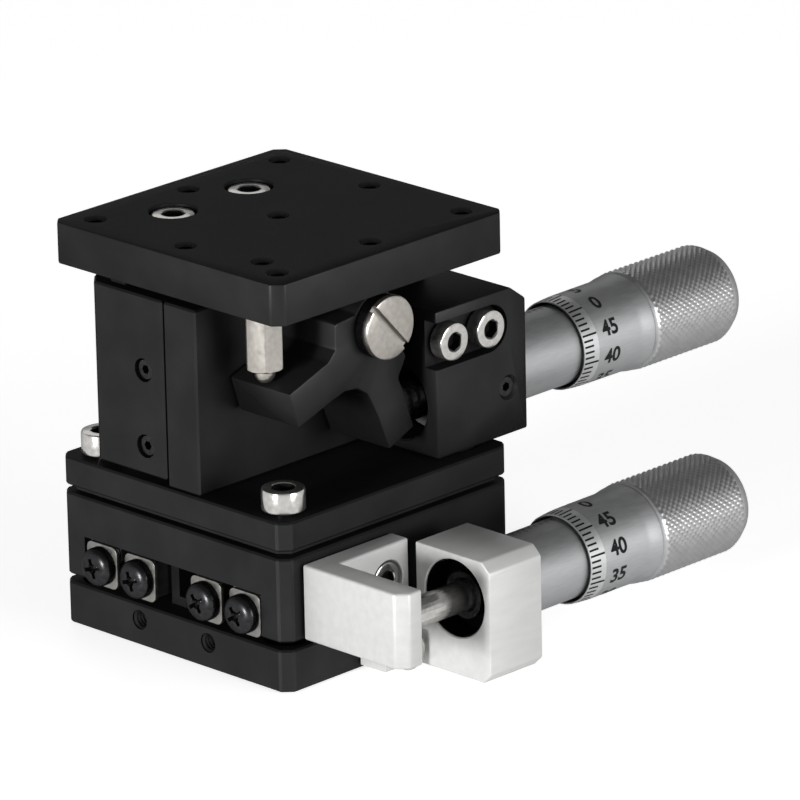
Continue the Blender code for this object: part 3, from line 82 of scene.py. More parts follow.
# Socket screws: head radius, head height, socket's corner radius
CAP_HEAD = (0.00275, 0.0028, 0.00145)
BLOCK_HEAD = (0.00245, 0.0020, 0.0012)
LOW_HEAD = (0.0023, 0.0015, 0.0012)
SHANK = 0.0014
TOP_SCREW_LENGTH = 0.0070
BASE_SCREW_LENGTH = 0.0080
BLOCK_SCREW_LENGTH = 0.0138
SCREW_TURN = math.radians(12)

# Turns that point local Z another way
ALONG_X = Matrix.Rotation(math.radians(90), 4, "Y")
FACING_FRONT = Matrix.Rotation(math.radians(90), 4, "X")
FACING_LEFT = Matrix.Rotation(math.radians(-90), 4, "Y")
FACING_RIGHT = Matrix.Rotation(math.radians(90), 4, "Y")


# Materials


def new_material(name, colour, metallic, roughness, specular=0.5, edge=1.0):
    material = bpy.data.materials.new(name)
    material.use_nodes = True
    tree = material.node_tree
    shader = tree.nodes["Principled BSDF"]
    shader.inputs["Base Color"].default_value = (*colour, 1.0)
    shader.inputs["Metallic"].default_value = metallic
    shader.inputs["Roughness"].default_value = roughness
    shader.inputs["Specular IOR Level"].default_value = specular
    shader.inputs["Specular Tint"].default_value = (edge, edge, edge, 1.0)
    return material, tree, shader


def add_node(tree, kind, **values):
    node = tree.nodes.new(kind)
    for key, value in values.items():
        setattr(node, key, value)
    return node


def noise(tree, scale, stretch=(1.0, 1.0, 1.0), detail=4.0):
    """Noise over the object's own coordinates, stretched along an axis if asked."""
    place = add_node(tree, "ShaderNodeTexCoord")
    mapping = add_node(tree, "ShaderNodeMapping")
    mapping.inputs["Scale"].default_value = stretch
    texture = add_node(tree, "ShaderNodeTexNoise")
    texture.inputs["Scale"].default_value = scale
    texture.inputs["Detail"].default_value = detail
    tree.links.new(place.outputs["Object"], mapping.inputs["Vector"])
    tree.links.new(mapping.outputs["Vector"], texture.inputs["Vector"])
    return texture.outputs["Fac"]


def ramp(tree, source, low, high, low_value, high_value):
    """The source, mapped from low..high to two colours."""
    node = add_node(tree, "ShaderNodeValToRGB")
    node.color_ramp.elements[0].position = low
    node.color_ramp.elements[1].position = high
    node.color_ramp.elements[0].color = (*low_value, 1.0)
    node.color_ramp.elements[1].color = (*high_value, 1.0)
    tree.links.new(source, node.inputs["Fac"])
    return node.outputs["Color"]


def spread(tree, source, low, high):
    node = add_node(tree, "ShaderNodeMapRange")
    node.inputs["To Min"].default_value = low
    node.inputs["To Max"].default_value = high
    tree.links.new(source, node.inputs["Value"])
    return node.outputs["Result"]


def bump(tree, shader, source, strength, distance):
    node = add_node(tree, "ShaderNodeBump")
    node.inputs["Strength"].default_value = strength
    node.inputs["Distance"].default_value = distance
    tree.links.new(source, node.inputs["Height"])
    tree.links.new(node.outputs["Normal"], shader.inputs["Normal"])


def anodised(name, colour, spread_to):
    """Bead-blasted and anodised aluminium: a fine even grain, and a faint cloud in the colour."""
    material, tree, shader = new_material(name, colour, 0.75, 0.45, 0.10, edge=0.10)
    cloud = noise(tree, 160.0, detail=3.0)
    tree.links.new(ramp(tree, cloud, 0.35, 0.70, colour, spread_to), shader.inputs["Base Color"])
    grain = noise(tree, 5200.0, detail=2.0)
    tree.links.new(spread(tree, grain, 0.36, 0.54), shader.inputs["Roughness"])
    bump(tree, shader, grain, 0.25, 0.00002)
    return material


def machined(name, colour, darker, roughness, stretch, scale=900.0, metallic=0.9, edge=0.4):
    """Bare or clear-anodised metal with fine tool lines, stretched as asked."""
    material, tree, shader = new_material(name, colour, metallic, roughness, edge=edge)
    lines = noise(tree, scale, stretch, detail=5.0)
    tree.links.new(ramp(tree, lines, 0.30, 0.70, darker, colour), shader.inputs["Base Color"])
    tree.links.new(spread(tree, lines, roughness - 0.07, roughness + 0.09), shader.inputs["Roughness"])
    bump(tree, shader, lines, 0.18, 0.00002)
    return material


# Ways that the tool lines are stretched
EVEN = (1.0, 1.0, 1.0)
DRAWN = (0.2, 1.0, 1.0)
TURNED = (6.0, 0.6, 0.6)
FINE = 1500.0

BLACK = anodised("black_anodised", (0.027, 0.027, 0.028), (0.034, 0.034, 0.035))
# A near-black lining for the holder's bore: painted shade.
BORE_SHADE = anodised("bore_painted_shade", (0.010, 0.010, 0.011), (0.014, 0.014, 0.015))
CLEAR = machined("clear_anodised", (0.72, 0.72, 0.71), (0.66, 0.66, 0.65), 0.42, DRAWN,
                 metallic=0.25, edge=0.2)
# The barrel's chrome painted lighter for the graduated bevel: painted highlight.
BEVEL_HIGHLIGHT = machined("chrome_painted_highlight", (0.56, 0.565, 0.57), (0.50, 0.505, 0.51), 0.46, TURNED, edge=0.2)
SATIN = machined("satin_chrome", (0.41, 0.415, 0.42), (0.36, 0.365, 0.37), 0.50, TURNED, edge=0.1)
# The knurl's chrome is the barrel's chrome painted lighter: painted highlight.
KNURL_HIGHLIGHT = machined("knurled_chrome_painted_highlight", (0.50, 0.50, 0.505), (0.43, 0.43, 0.435), 0.30, EVEN, edge=0.3)
BRIGHT = machined("bright_steel", (0.56, 0.55, 0.53), (0.44, 0.43, 0.41), 0.17, EVEN, FINE)
SLOTTED = machined("turned_steel", (0.42, 0.40, 0.37), (0.34, 0.32, 0.29), 0.30, EVEN, FINE)
WASHER = machined("washer_steel", (0.28, 0.275, 0.26), (0.17, 0.165, 0.155), 0.34, EVEN, 1100.0)
# Black oxide on the set and stop screws; also painted shade on the micrometer noses and under the pivot
# screw's head.
DARK = machined("black_oxide_and_painted_shade", (0.042, 0.042, 0.044), (0.024, 0.024, 0.026), 0.26, EVEN, FINE)
RAIL = machined("ground_steel", (0.20, 0.20, 0.21), (0.15, 0.15, 0.16), 0.30, DRAWN, FINE)
BRASS = machined("brass", (0.60, 0.44, 0.18), (0.48, 0.34, 0.13), 0.35, EVEN, 1200.0)
# The darker steel inside the hexagon sockets is painted shade.
SOCKET_SHADE = machined("socket_painted_shade", (0.050, 0.050, 0.050), (0.030, 0.030, 0.030), 0.30, EVEN)
INK, _, _ = new_material("scale_ink", (0.012, 0.012, 0.013), 0.0, 0.6, 0.1)


# Meshes


def mesh_from(bm, name, recalc=True):
    if recalc:
        bmesh.ops.recalc_face_normals(bm, faces=bm.faces)
    mesh = bpy.data.meshes.new(name)
    bm.to_mesh(mesh)
    bm.free()
    return mesh


def lathe(name, profile, steps=96, closed=False):
    """(radius, height) points turned about Z. A radius of zero closes that end."""
    bm = bmesh.new()
    rings = []
    for radius, height in profile:
        if radius == 0:
            rings.append([bm.verts.new((0.0, 0.0, height))])
            continue
        angles = [2 * math.pi * index / steps for index in range(steps)]
        rings.append([bm.verts.new((radius * math.cos(a), radius * math.sin(a), height)) for a in angles])
    pairs = list(zip(rings, rings[1:]))
    if closed:
        pairs.append((rings[-1], rings[0]))
    for upper, lower in pairs:
        for index in range(steps):
            after = (index + 1) % steps
            corners = [upper[index % len(upper)], lower[index % len(lower)],
                       lower[after % len(lower)], upper[after % len(upper)]]
            corners = list(dict.fromkeys(corners))
            if len(corners) > 2:
                bm.faces.new(corners)
    return mesh_from(bm, name)


def prism(name, points, low, high):
    """An outline in the XY plane, extruded along Z."""
    bm = bmesh.new()
    face = bm.faces.new([bm.verts.new((x, y, low)) for x, y in points])
    run = bmesh.ops.extrude_face_region(bm, geom=[face])
    top = [item for item in run["geom"] if isinstance(item, bmesh.types.BMVert)]
    bmesh.ops.translate(bm, vec=(0.0, 0.0, high - low), verts=top)
    return mesh_from(bm, name)


def cuboid(name, low, high):
    points = [(low[0], low[1]), (high[0], low[1]), (high[0], high[1]), (low[0], high[1])]
    return prism(name, points, low[2], high[2])


def show(name, mesh, material, place=None):
    obj = bpy.data.objects.new(name, mesh)
    bpy.context.scene.collection.objects.link(obj)
    if place is not None:
        obj.matrix_world = place
    obj.data.materials.clear()
    obj.data.materials.append(material)
    return obj


def bevel(obj, width, segments=2, angle=35):
    step = obj.modifiers.new("bevel", "BEVEL")
    step.width = width
    step.segments = segments
    step.limit_method = "ANGLE"
    step.angle_limit = math.radians(angle)


def cut(obj, meshes, operation="DIFFERENCE"):
    """Applies what the object has so far, and then each Boolean in turn."""
    tools = []
    for index, mesh in enumerate(meshes):
        tool = bpy.data.objects.new(f"{obj.name}_tool_{index}", mesh)
        bpy.context.scene.collection.objects.link(tool)
        step = obj.modifiers.new(tool.name, "BOOLEAN")
        step.operation = operation
        step.solver = "EXACT"
        step.object = tool
        tools.append(tool)
    apply(obj)
    for tool in tools:
        bpy.data.objects.remove(tool, do_unlink=True)


def apply(obj):
    bpy.context.view_layer.update()
    graph = bpy.context.evaluated_depsgraph_get()
    mesh = bpy.data.meshes.new_from_object(obj.evaluated_get(graph))
    obj.modifiers.clear()
    obj.data = mesh


def soften(obj, angle=30):
    obj.data.shade_smooth()
    obj.data.set_sharp_from_angle(angle=math.radians(angle))


def transformed(mesh, place):
    mesh.transform(place)
    return mesh


def tool_at(profile, place, steps=40):
    return transformed(lathe("tool", profile, steps), place)


def drill(place, radius, depth, mouth=0.0002, over=0.0005):
    """A drill with a small chamfer at its mouth, along local -Z from the place."""
    profile = [(0.0, over), (radius + mouth + over, over), (radius + mouth, 0.0), (radius, -mouth),
               (radius, -depth), (0.0, -depth)]
    return tool_at(profile, place)


def thread(name, place, radius, depth, pitch, body, material, steps=36):
    """The ridges of a threaded hole, as a sleeve inside it, along local -Z from the place."""
    crest = radius - pitch * 0.45
    profile = [(radius + pitch * 0.3, -pitch * 0.5)]
    count = int(depth / pitch)
    for index in range(count):
        height = -pitch * (index + 0.5)
        profile.append((radius, height))
        profile.append((crest, height - pitch * 0.5))
    profile.append((radius, -pitch * (count + 0.5)))
    profile.append((radius + pitch * 0.3, -pitch * (count + 0.5)))
    sleeve = show(name, lathe(name, profile, steps, closed=True), material, place)
    soften(sleeve, 20)
    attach(sleeve, body)


def chamfered_square(half_x, half_y, corner):
    return [(half_x - corner, -half_y), (half_x, -half_y + corner), (half_x, half_y - corner),
            (half_x - corner, half_y), (-half_x + corner, half_y), (-half_x, half_y - corner),
            (-half_x, -half_y + corner), (-half_x + corner, -half_y)]


# Screws


def hexagon(radius, start=0):
    angles = [math.radians(60 * index + start) for index in range(6)]
    return [(radius * math.cos(angle), radius * math.sin(angle)) for angle in angles]


def hex_tool(radius, low, high, place):
    return transformed(prism("hex", hexagon(radius), low, high), place)


def cap_screw(node, size, length, body, place, turn=0.0):
    """A socket cap screw: a rounded head, a chamfered mouth to its hexagon, and a plain shank. The socket's
    walls and floor take a darker steel colour as painted shade.
    """
    head, height, socket = size
    edge = head * 0.12
    profile = [(0.0, height), (head - edge, height), (head - edge * 0.3, height - edge * 0.3),
               (head, height - edge), (head, edge * 0.3), (head - edge * 0.3, 0.0), (SHANK, 0.0),
               (SHANK, -length), (0.0, -length)]
    spin = place @ Matrix.Rotation(turn, 4, "Z")
    obj = show(f"{node}_detail", lathe(node, profile, 64), BRIGHT, spin)
    above = height + 0.001
    mouth = [(0.0, above), (socket * 1.1 + 0.001, above), (socket * 1.02, height - socket * 0.08),
             (0.0, height - socket * 0.3)]
    cut(obj, [hex_tool(socket, height * 0.35, above, spin), tool_at(mouth, spin, 48)])
    # Painted shade: faces inside the socket get the darker steel.
    obj.data.materials.append(SOCKET_SHADE)
    for face in obj.data.polygons:
        across = math.hypot(face.center.x, face.center.y)
        if across < socket and height * 0.3 < face.center.z < height - socket * 0.05:
            face.material_index = 1
    soften(obj)
    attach(obj, body)
    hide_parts(node)


def upright_seat(node, height):
    """Where the head of an upright screw starts, under the top of its solid."""
    low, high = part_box(node)
    return Matrix.Translation(((low[0] + high[0]) / 2, (low[1] + high[1]) / 2, high[2] - height))


def front_seat(node, height):
    """Where the head of a screw that faces the front starts, behind the front of its solid."""
    low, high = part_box(node)
    seat = ((low[0] + high[0]) / 2, low[1] + height, (low[2] + high[2]) / 2)
    return Matrix.Translation(seat) @ FACING_FRONT


def build_cap_screws():
    _, cap_height, _ = CAP_HEAD
    _, block_height, _ = BLOCK_HEAD
    _, low_height, _ = LOW_HEAD
    for index, node in enumerate(("top_screw_1", "top_screw_2")):
        place = upright_seat(node, cap_height)
        cap_screw(node, CAP_HEAD, TOP_SCREW_LENGTH, "lift", place, SCREW_TURN * (index + 1))
    for index, node in enumerate(("z_base_screw_1", "z_base_screw_2", "z_base_screw_3")):
        place = upright_seat(node, cap_height)
        cap_screw(node, CAP_HEAD, BASE_SCREW_LENGTH, "x_table", place, SCREW_TURN * index)
    for index, node in enumerate(("z_block_screw_1", "z_block_screw_2")):
        place = front_seat(node, block_height)
        cap_screw(node, BLOCK_HEAD, BLOCK_SCREW_LENGTH, "x_table", place, SCREW_TURN * (index + 2))
    for node in ("bracket_screw_1", "bracket_screw_2", "holder_screw_1", "holder_screw_2"):
        low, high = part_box(node)
        body = "base" if node.startswith("holder") else "x_table"
        cap_screw(node, LOW_HEAD, high[1] - low[1] - low_height, body, front_seat(node, low_height))
    node = "z_base_low_screw"
    low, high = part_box(node)
    cap_screw(node, LOW_HEAD, high[2] - low[2] - low_height, "x_table", upright_seat(node, low_height))


def build_rail_stops():
    """Square washers with dark cross-recessed pan heads on the ends of the rails."""
    for owner, body in (("inner", "base"), ("outer", "x_table")):
        for side in ("left", "right"):
            for end, sign in (("front", -1), ("rear", 1)):
                node = f"{owner}_stop_{side}_{end}"
                low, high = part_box(node)
                y = (low[1] + high[1]) / 2
                z = (low[2] + high[2]) / 2
                face = low[0] if sign < 0 else high[0]
                turn = FACING_LEFT if sign < 0 else FACING_RIGHT
                place = Matrix.Translation((face, y, z)) @ turn
                build_stop(node, body, place)


def build_stop(node, body, place):
    """A square washer under a domed head, seen from the head's side of the place."""
    head_height = 0.0018
    washer_back = -head_height - 0.0006
    outline = rounded_square(0.0028, 0.0027, 0.0009, 6)
    washer = show(f"{node}_washer", prism(node, outline, washer_back, -head_height), WASHER, place)
    bevel(washer, 0.00012, 2)
    apply(washer)
    soften(washer)
    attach(washer, body)
    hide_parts(node)
    radius = 0.0025
    shank = 0.0008
    tip = -0.0054
    dome = 0.0010
    flat_share = 0.40
    steps = 8
    profile = [(0.0, 0.0)]
    for index in range(1, steps + 1):
        angle = math.radians(90 * index / steps)
        spread_share = flat_share + (1 - flat_share) * math.sin(angle)
        profile.append((radius * spread_share, -dome * (1 - math.cos(angle))))
    profile += [(radius, -head_height + 0.00005), (shank, -head_height), (shank, tip), (0.0, tip)]
    spin = place @ Matrix.Rotation(math.radians(20 + 17 * len(node)), 4, "Z")
    screw = show(f"{node}_screw", lathe(node, profile, 48), DARK, spin)
    reach = 0.0015
    half_width = 0.00030
    arms = [cross_tool(spin, reach, half_width), cross_tool(spin, half_width, reach)]
    cone = [(0.0, 0.0006), (0.0010, 0.0006), (0.00055, -0.0003), (0.0, -0.0012)]
    cut(screw, arms + [tool_at(cone, spin, 24)])
    soften(screw)
    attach(screw, body)
    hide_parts(node)


def cross_tool(place, reach_x, reach_y):
    """One arm of a cross recess, narrower at its floor."""
    bm = bmesh.new()
    top = [(-reach_x, -reach_y), (reach_x, -reach_y), (reach_x, reach_y), (-reach_x, reach_y)]
    upper = [bm.verts.new((x, y, 0.0004)) for x, y in top]
    lower = [bm.verts.new((x * 0.6, y * 0.8, -0.0008)) for x, y in top]
    bm.faces.new(upper)
    bm.faces.new(list(reversed(lower)))
    for index in range(4):
        after = (index + 1) % 4
        bm.faces.new([upper[index], lower[index], lower[after], upper[after]])
    return transformed(mesh_from(bm, "cross"), place)


def rounded_square(half_x, half_y, radius, steps):
    points = []
    for turn, (sx, sy) in enumerate(((1, 1), (-1, 1), (-1, -1), (1, -1))):
        for index in range(steps + 1):
            angle = math.pi / 2 * (turn + index / steps)
            points.append((sx * (half_x - radius) + radius * math.cos(angle),
                           sy * (half_y - radius) + radius * math.sin(angle)))
    return points


# Plates, lever and blocks


def build_top_plate():
    mesh = prism("top_plate", chamfered_square(HALF, HALF, CORNER), TOP_LOW, TOP_HIGH)
    plate = show("top_plate_detail", mesh, BLACK)
    bevel(plate, 0.00028, 2)
    through = 0.0064
    row = (-TAP_SPACING, 0.0, TAP_SPACING)
    places = [(x, y) for x in row for y in row] + [POST_TAP]
    tools = [drill(Matrix.Translation((x, y, TOP_HIGH)), TAP_RADIUS, through) for x, y in places]
    for x in TOP_SCREW_X:
        seat = Matrix.Translation((x, TOP_SCREW_Y, TOP_HIGH))
        tools.append(drill(seat, 0.0031, 0.0034, 0.00012))
        tools.append(drill(seat, CLEARANCE, through, 0.0))
    cut(plate, tools)
    soften(plate)
    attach(plate, "lift")
    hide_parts("top_plate")
    for index, (x, y) in enumerate(places):
        place = Matrix.Translation((x, y, TOP_HIGH))
        thread(f"top_thread_{index}", place, 0.00127, 0.0048, TAP_PITCH, "lift", BLACK)


def build_base_threads():
    """Ridges in the two tapped holes of each side of the base."""
    for index, (side, turn) in enumerate(((-1, FACING_LEFT), (1, FACING_RIGHT))):
        for y, end in ((-SIDE_TAP_Y, "front"), (SIDE_TAP_Y, "rear")):
            place = Matrix.Translation((side * HALF, y, SIDE_TAP_Z)) @ turn
            thread(f"side_thread_{index}_{end}", place, TAP_RADIUS, 0.0040, TAP_PITCH, "base", BLACK)


def arc(centre, radius, start, end, steps):
    points = []
    for index in range(steps + 1):
        angle = math.radians(start + (end - start) * index / steps)
        points.append((centre[0] + radius * math.cos(angle), centre[1] + radius * math.sin(angle)))
    return points


def rounded(points, radii, steps=8):
    """The outline with each corner that has a radius turned into an arc."""
    result = []
    count = len(points)
    for index, radius in enumerate(radii):
        here = Vector(points[index])
        if not radius:
            result.append(tuple(here))
            continue
        before = (Vector(points[index - 1]) - here).normalized()
        after = (Vector(points[(index + 1) % count]) - here).normalized()
        opening = before.angle(after)
        reach = radius / math.tan(opening / 2)
        start = here + before * reach
        centre = here + (before + after).normalized() * (radius / math.sin(opening / 2))
        end = here + after * reach
        a0 = math.atan2(start.y - centre.y, start.x - centre.x)
        a1 = math.atan2(end.y - centre.y, end.x - centre.x)
        while a1 - a0 > math.pi:
            a1 -= 2 * math.pi
        while a1 - a0 < -math.pi:
            a1 += 2 * math.pi
        for part in range(steps + 1):
            angle = a0 + (a1 - a0) * part / steps
            result.append((centre.x + radius * math.cos(angle), centre.y + radius * math.sin(angle)))
    return result


def build_lever():
    """The bell crank, with round inner corners, in the outline of its solid."""
    corners = [
        ((-0.01386, -0.00993), 0.0), ((-0.01535, -0.00524), 0.0), ((-0.00856, -0.00281), 0.0015),
        ((-0.00725, -0.00150), 0.0006), ((-0.00720, 0.00179), 0.0004),
    ]
    boss = arc((0.0, 0.0), 0.0042, 150, -35, 24)
    lower = [
        ((0.00494, -0.00547), 0.0006), ((0.00353, -0.00794), 0.0008), ((0.00458, -0.01038), 0.0),
        ((0.00602, -0.01495), 0.0), ((0.00168, -0.01680), 0.0), ((-0.00018, -0.01197), 0.0),
        ((-0.00186, -0.00870), 0.0018), ((-0.00361, -0.00750), 0.0012), ((-0.00583, -0.00732), 0.0008),
        ((-0.00851, -0.00811), 0.0020),
    ]
    points = [point for point, _ in corners] + boss + [point for point, _ in lower]
    radii = [radius for _, radius in corners] + [0.0] * len(boss) + [radius for _, radius in lower]
    mesh = prism("lever", rounded(points, radii, 6), 0.0, LEVER_THICK)
    place = Matrix.Translation((PIVOT[0], LEVER_BACK, PIVOT[1])) @ FACING_FRONT
    lever = show("lever_detail", mesh, BLACK, place)
    bevel(lever, 0.00025, 2)
    bore = 0.0020
    cut(lever, [tool_at([(0.0, 0.012), (bore, 0.012), (bore, -0.002), (0.0, -0.002)], place)])
    soften(lever)
    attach(lever, "lever")
    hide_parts("lever")


def build_pivot_screw():
    """The lever's slotted screw: a bright thin top to its head, and below it a dark ring of the head's width
    that is painted shade on the head's side.
    """
    low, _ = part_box("lever_screw")
    radius = 0.0041
    shank = 0.0017
    end = -0.0142
    face = 0.0021
    under = 0.0014
    place = Matrix.Translation((PIVOT[0], low[1] + face, PIVOT[1])) @ FACING_FRONT
    profile = [(0.0, face), (radius - 0.0003, face), (radius - 0.0001, 0.0020), (radius, 0.0018),
               (radius, under), (shank, under), (shank, end), (0.0, end)]
    spin = place @ Matrix.Rotation(math.radians(-48), 4, "Z")
    screw = show("lever_screw_detail", lathe("lever_screw", profile, 96), SLOTTED, spin)
    slot = transformed(cuboid("slot", (-0.006, -0.0004, 0.00145), (0.006, 0.0004, 0.004)), spin)
    cut(screw, [slot])
    bevel(screw, 0.00006, 1, 50)
    apply(screw)
    soften(screw)
    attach(screw, "x_table")
    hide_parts("lever_screw")
    # Painted shade: the lower part of the head is a separate dark ring that stands in for the shade on the
    # head's side.
    hole = 0.0018
    top = 0.00135
    shade_collar = [(hole, top), (radius - 0.0001, top), (radius, 0.0012), (radius, 0.0001),
              (radius - 0.0001, 0.0), (hole, 0.0)]
    washer = show("lever_head_shade", lathe("lever_head_shade", shade_collar, 96, closed=True), DARK, place)
    soften(washer)
    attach(washer, "x_table")
    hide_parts("lever_screw")


def build_z_block():
    """The micrometer block: a pocket with two screws, a clamp hole, and the bore of the stem."""
    left, right = 0.0091, 0.0251
    bottom, shoulder, top = 0.0224, 0.03963, 0.04163
    outline = [(left, bottom), (right, bottom), (right, shoulder), (0.0224, top), (left, top)]
    mesh = transformed(prism("z_block", outline, 0.0057, -BLOCK_FRONT), FACING_FRONT)
    block = show("z_block_detail", mesh, BLACK)
    bevel(block, 0.00030, 2)
    y, z, _ = Z_HEAD
    clamp = Matrix.Translation((CLAMP_X, BLOCK_FRONT, z)) @ FACING_FRONT
    outside = 0.0080
    round_end = arc((BLOCK_SCREW_X[1], BLOCK_SCREW_Z), POCKET_RADIUS, -90, 90, 24)
    pocket = [(outside, 0.03403)] + round_end + [(outside, 0.04023)]
    tools = [transformed(prism("pocket", pocket, -POCKET_FLOOR, 0.0190), FACING_FRONT)]
    for x in BLOCK_SCREW_X:
        seat = Matrix.Translation((x, POCKET_FLOOR, BLOCK_SCREW_Z)) @ FACING_FRONT
        tools.append(drill(seat, CLEARANCE, 0.012, 0.0, 0.001))
    tools.append(drill(clamp, 0.00145, 0.0030))
    tools.append(drill(Matrix.Translation((right, y, z)) @ FACING_RIGHT, STEM_BORE, 0.020, 0.00025))
    tools.append(drill(Matrix.Translation((left, y, z)) @ FACING_LEFT, STEM_BORE, 0.001, 0.00025))
    cut(block, tools)
    soften(block)
    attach(block, "x_table")
    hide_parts("z_block")
    thread("clamp_thread", clamp, 0.00144, 0.0015, 0.0004, "x_table", BLACK)


def build_x_holder():
    """The bright micrometer holder: chamfered block with a large bore lined in painted shade, and its bolted
    foot.
    """
    back, front = -0.0242, -0.0369
    bottom, top, chamfer = 0.0002, 0.0161, 0.0013
    points = [(back, bottom), (back, top), (front + chamfer, top), (front, top - chamfer),
              (front, bottom + chamfer), (front + chamfer, bottom)]
    to_yz = Matrix(((0, 0, 1, 0), (1, 0, 0, 0), (0, 1, 0, 0), (0, 0, 0, 1)))
    left = -0.0016
    mesh = transformed(prism("x_holder", points, left, 0.0076), to_yz)
    holder = show("x_holder_detail", mesh, CLEAR)
    bevel(holder, 0.00025, 2, 20)
    foot = cuboid("foot", (-0.0076, FOOT_FRONT, 0.0006), (0.0136, -0.0203, 0.0054))
    cut(holder, [foot], "UNION")
    y, z, _ = X_HEAD
    tools = [drill(Matrix.Translation((left, y, z)) @ FACING_LEFT, STEM_BORE, 0.020, 0.00015)]
    for x in FOOT_SCREW_X:
        seat = Matrix.Translation((x, FOOT_FRONT, FOOT_SCREW_Z)) @ FACING_FRONT
        tools.append(drill(seat, CLEARANCE, 0.006))
    cut(holder, tools)
    soften(holder)
    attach(holder, "base")
    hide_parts("x_holder")
    # Painted shade: a thin near-black lining and floor in the bore, round the stem, where the bore is in
    # shade.
    inside, outside, hole = 0.0049, 0.00503, 0.0021
    mouth, floor, under = -0.0013, 0.0022, 0.0029
    shade_liner = lathe("shade_liner", [(inside, mouth), (inside, floor), (hole, floor), (hole, under), (outside, under),
                            (outside, mouth)], 64, closed=True)
    ring = show("x_bore_painted_shade", shade_liner, BORE_SHADE, Matrix.Translation((0.0, y, z)) @ ALONG_X)
    soften(ring)
    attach(ring, "base")
    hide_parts("x_mic_sleeve")


def build_drive_bracket():
    """The bright angle that the X spindle pushes on, seen from above as an L."""
    outline = [(-0.0173, -0.0203), (-0.0173, -0.0360), (-0.0160, -0.0373), (-0.0137, -0.0373),
               (-0.0137, BRACKET_FRONT), (-0.0018, BRACKET_FRONT), (-0.0018, -0.0203)]
    bracket = show("drive_bracket_detail", prism("drive_bracket", outline, 0.0066, 0.0164), CLEAR)
    bevel(bracket, 0.00035, 3)
    tools = []
    for x in BRACKET_SCREW_X:
        seat = Matrix.Translation((x, BRACKET_FRONT, BRACKET_SCREW_Z)) @ FACING_FRONT
        tools.append(drill(seat, 0.0026, 0.0019, 0.0001))
        tools.append(drill(seat, CLEARANCE, 0.0040, 0.0))
    cut(bracket, tools)
    soften(bracket)
    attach(bracket, "x_table")
    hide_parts("drive_bracket")


def build_post():
    """The hexagonal post with a chamfered lower end and a ball tip."""
    low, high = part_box("lift_post")
    x = (low[0] + high[0]) / 2
    y = (low[1] + high[1]) / 2
    bottom = low[2] + 0.0018
    top = TOP_LOW - 0.0003
    radius = 0.00252
    place = Matrix.Translation((x, y, 0.0))
    post = show("lift_post_detail", prism("lift_post", hexagon(radius, -11), bottom, top), SLOTTED, place)
    bevel(post, 0.00010, 1)
    turn = [(0.0, top), (radius, top), (radius, bottom + 0.0003), (radius - 0.0004, bottom), (0.0, bottom)]
    cut(post, [tool_at(turn, place, 96)], "INTERSECT")
    tip = 0.0013
    steps = 12
    ball = [(0.0, low[2])]
    for index in range(1, steps + 1):
        angle = math.radians(90 * index / steps)
        ball.append((tip * math.sin(angle), low[2] + tip * (1 - math.cos(angle))))
    ball += [(tip, bottom + 0.0008), (0.0, bottom + 0.0008)]
    thin = 0.0010
    stud_low, stud_high = top - 0.001, top + 0.0040
    stud = [(0.0, stud_low), (thin, stud_low), (thin, stud_high), (0.0, stud_high)]
    cut(post, [tool_at(ball, place, 48), tool_at(stud, place, 32)], "UNION")
    soften(post)
    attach(post, "lift")
    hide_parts("lift_post")


# Micrometer heads: heights run from the thimble's rim

GRIP_START = 0.0131
GRIP_END = 0.0276
GRIP_RADIUS = 0.00655
KNURL_DEPTH = 0.00022
THIMBLE_END = 0.0291
THIMBLE_BORE = 0.00560
BARREL_RADIUS = 0.00605
BARREL_END = 0.0100
BEVEL_RADIUS = 0.00600
BEVEL_END = 0.0025
RIM_RADIUS = 0.00580
SLEEVE_RADIUS = 0.0052
SLEEVE_END = 0.0150
SPINDLE_HOLE = 0.00225
STEM_RADIUS = 0.00475
NOSE_RADIUS = 0.0030
NOSE_LENGTH = 0.0030
DIVISIONS = 50
DIVISIONS_A_NUMBER = 5
INK_LIFT = 0.00002
SCALE_PROFILE = [(0.0, RIM_RADIUS), (BEVEL_END, BEVEL_RADIUS), (BARREL_END, BARREL_RADIUS)]


def scale_radius(along):
    """The thimble's outer radius, from the rim to the end of its plain barrel."""
    for (a, ra), (b, rb) in zip(SCALE_PROFILE, SCALE_PROFILE[1:]):
        if along <= b:
            return ra + (rb - ra) * (along - a) / (b - a)
    return SCALE_PROFILE[-1][1]


def thimble_mesh(name):
    """The thimble from its cap to the grip, the flare, the barrel, the bevel and the bore."""
    inner = GRIP_RADIUS - KNURL_DEPTH
    recess = 0.0024
    groove = 0.00622
    cap = THIMBLE_END - 0.0004
    socket = 0.0223
    profile = [
        (0.0, cap), (recess, cap), (recess, THIMBLE_END), (0.0053, THIMBLE_END),
        (0.0056, THIMBLE_END - 0.0001), (inner, GRIP_END + 0.0001), (inner, GRIP_END), (inner, GRIP_START),
        (inner + 0.00012, GRIP_START - 0.00012), (0.00632, GRIP_START - 0.0004),
        (groove, GRIP_START - 0.0005), (groove, GRIP_START - 0.0006), (0.00636, GRIP_START - 0.0007),
        (0.00630, 0.0117), (0.00612, 0.0107), (BARREL_RADIUS, BARREL_END), (BEVEL_RADIUS, BEVEL_END),
        (RIM_RADIUS, 0.00005), (0.00576, 0.0), (0.00564, 0.0), (THIMBLE_BORE, 0.0001),
        (THIMBLE_BORE, socket), (SPINDLE_HOLE, socket), (SPINDLE_HOLE, 0.0263), (0.0, 0.0263),
    ]
    return lathe(name, profile, 128)


def knurl_height(p, q):
    """How high the diamond stands at a place between the grooves of both hands, as a share."""
    reach = min(min(p % 1.0, 1.0 - p % 1.0), min(q % 1.0, 1.0 - q % 1.0))
    return min(1.0, 3.0 * reach)


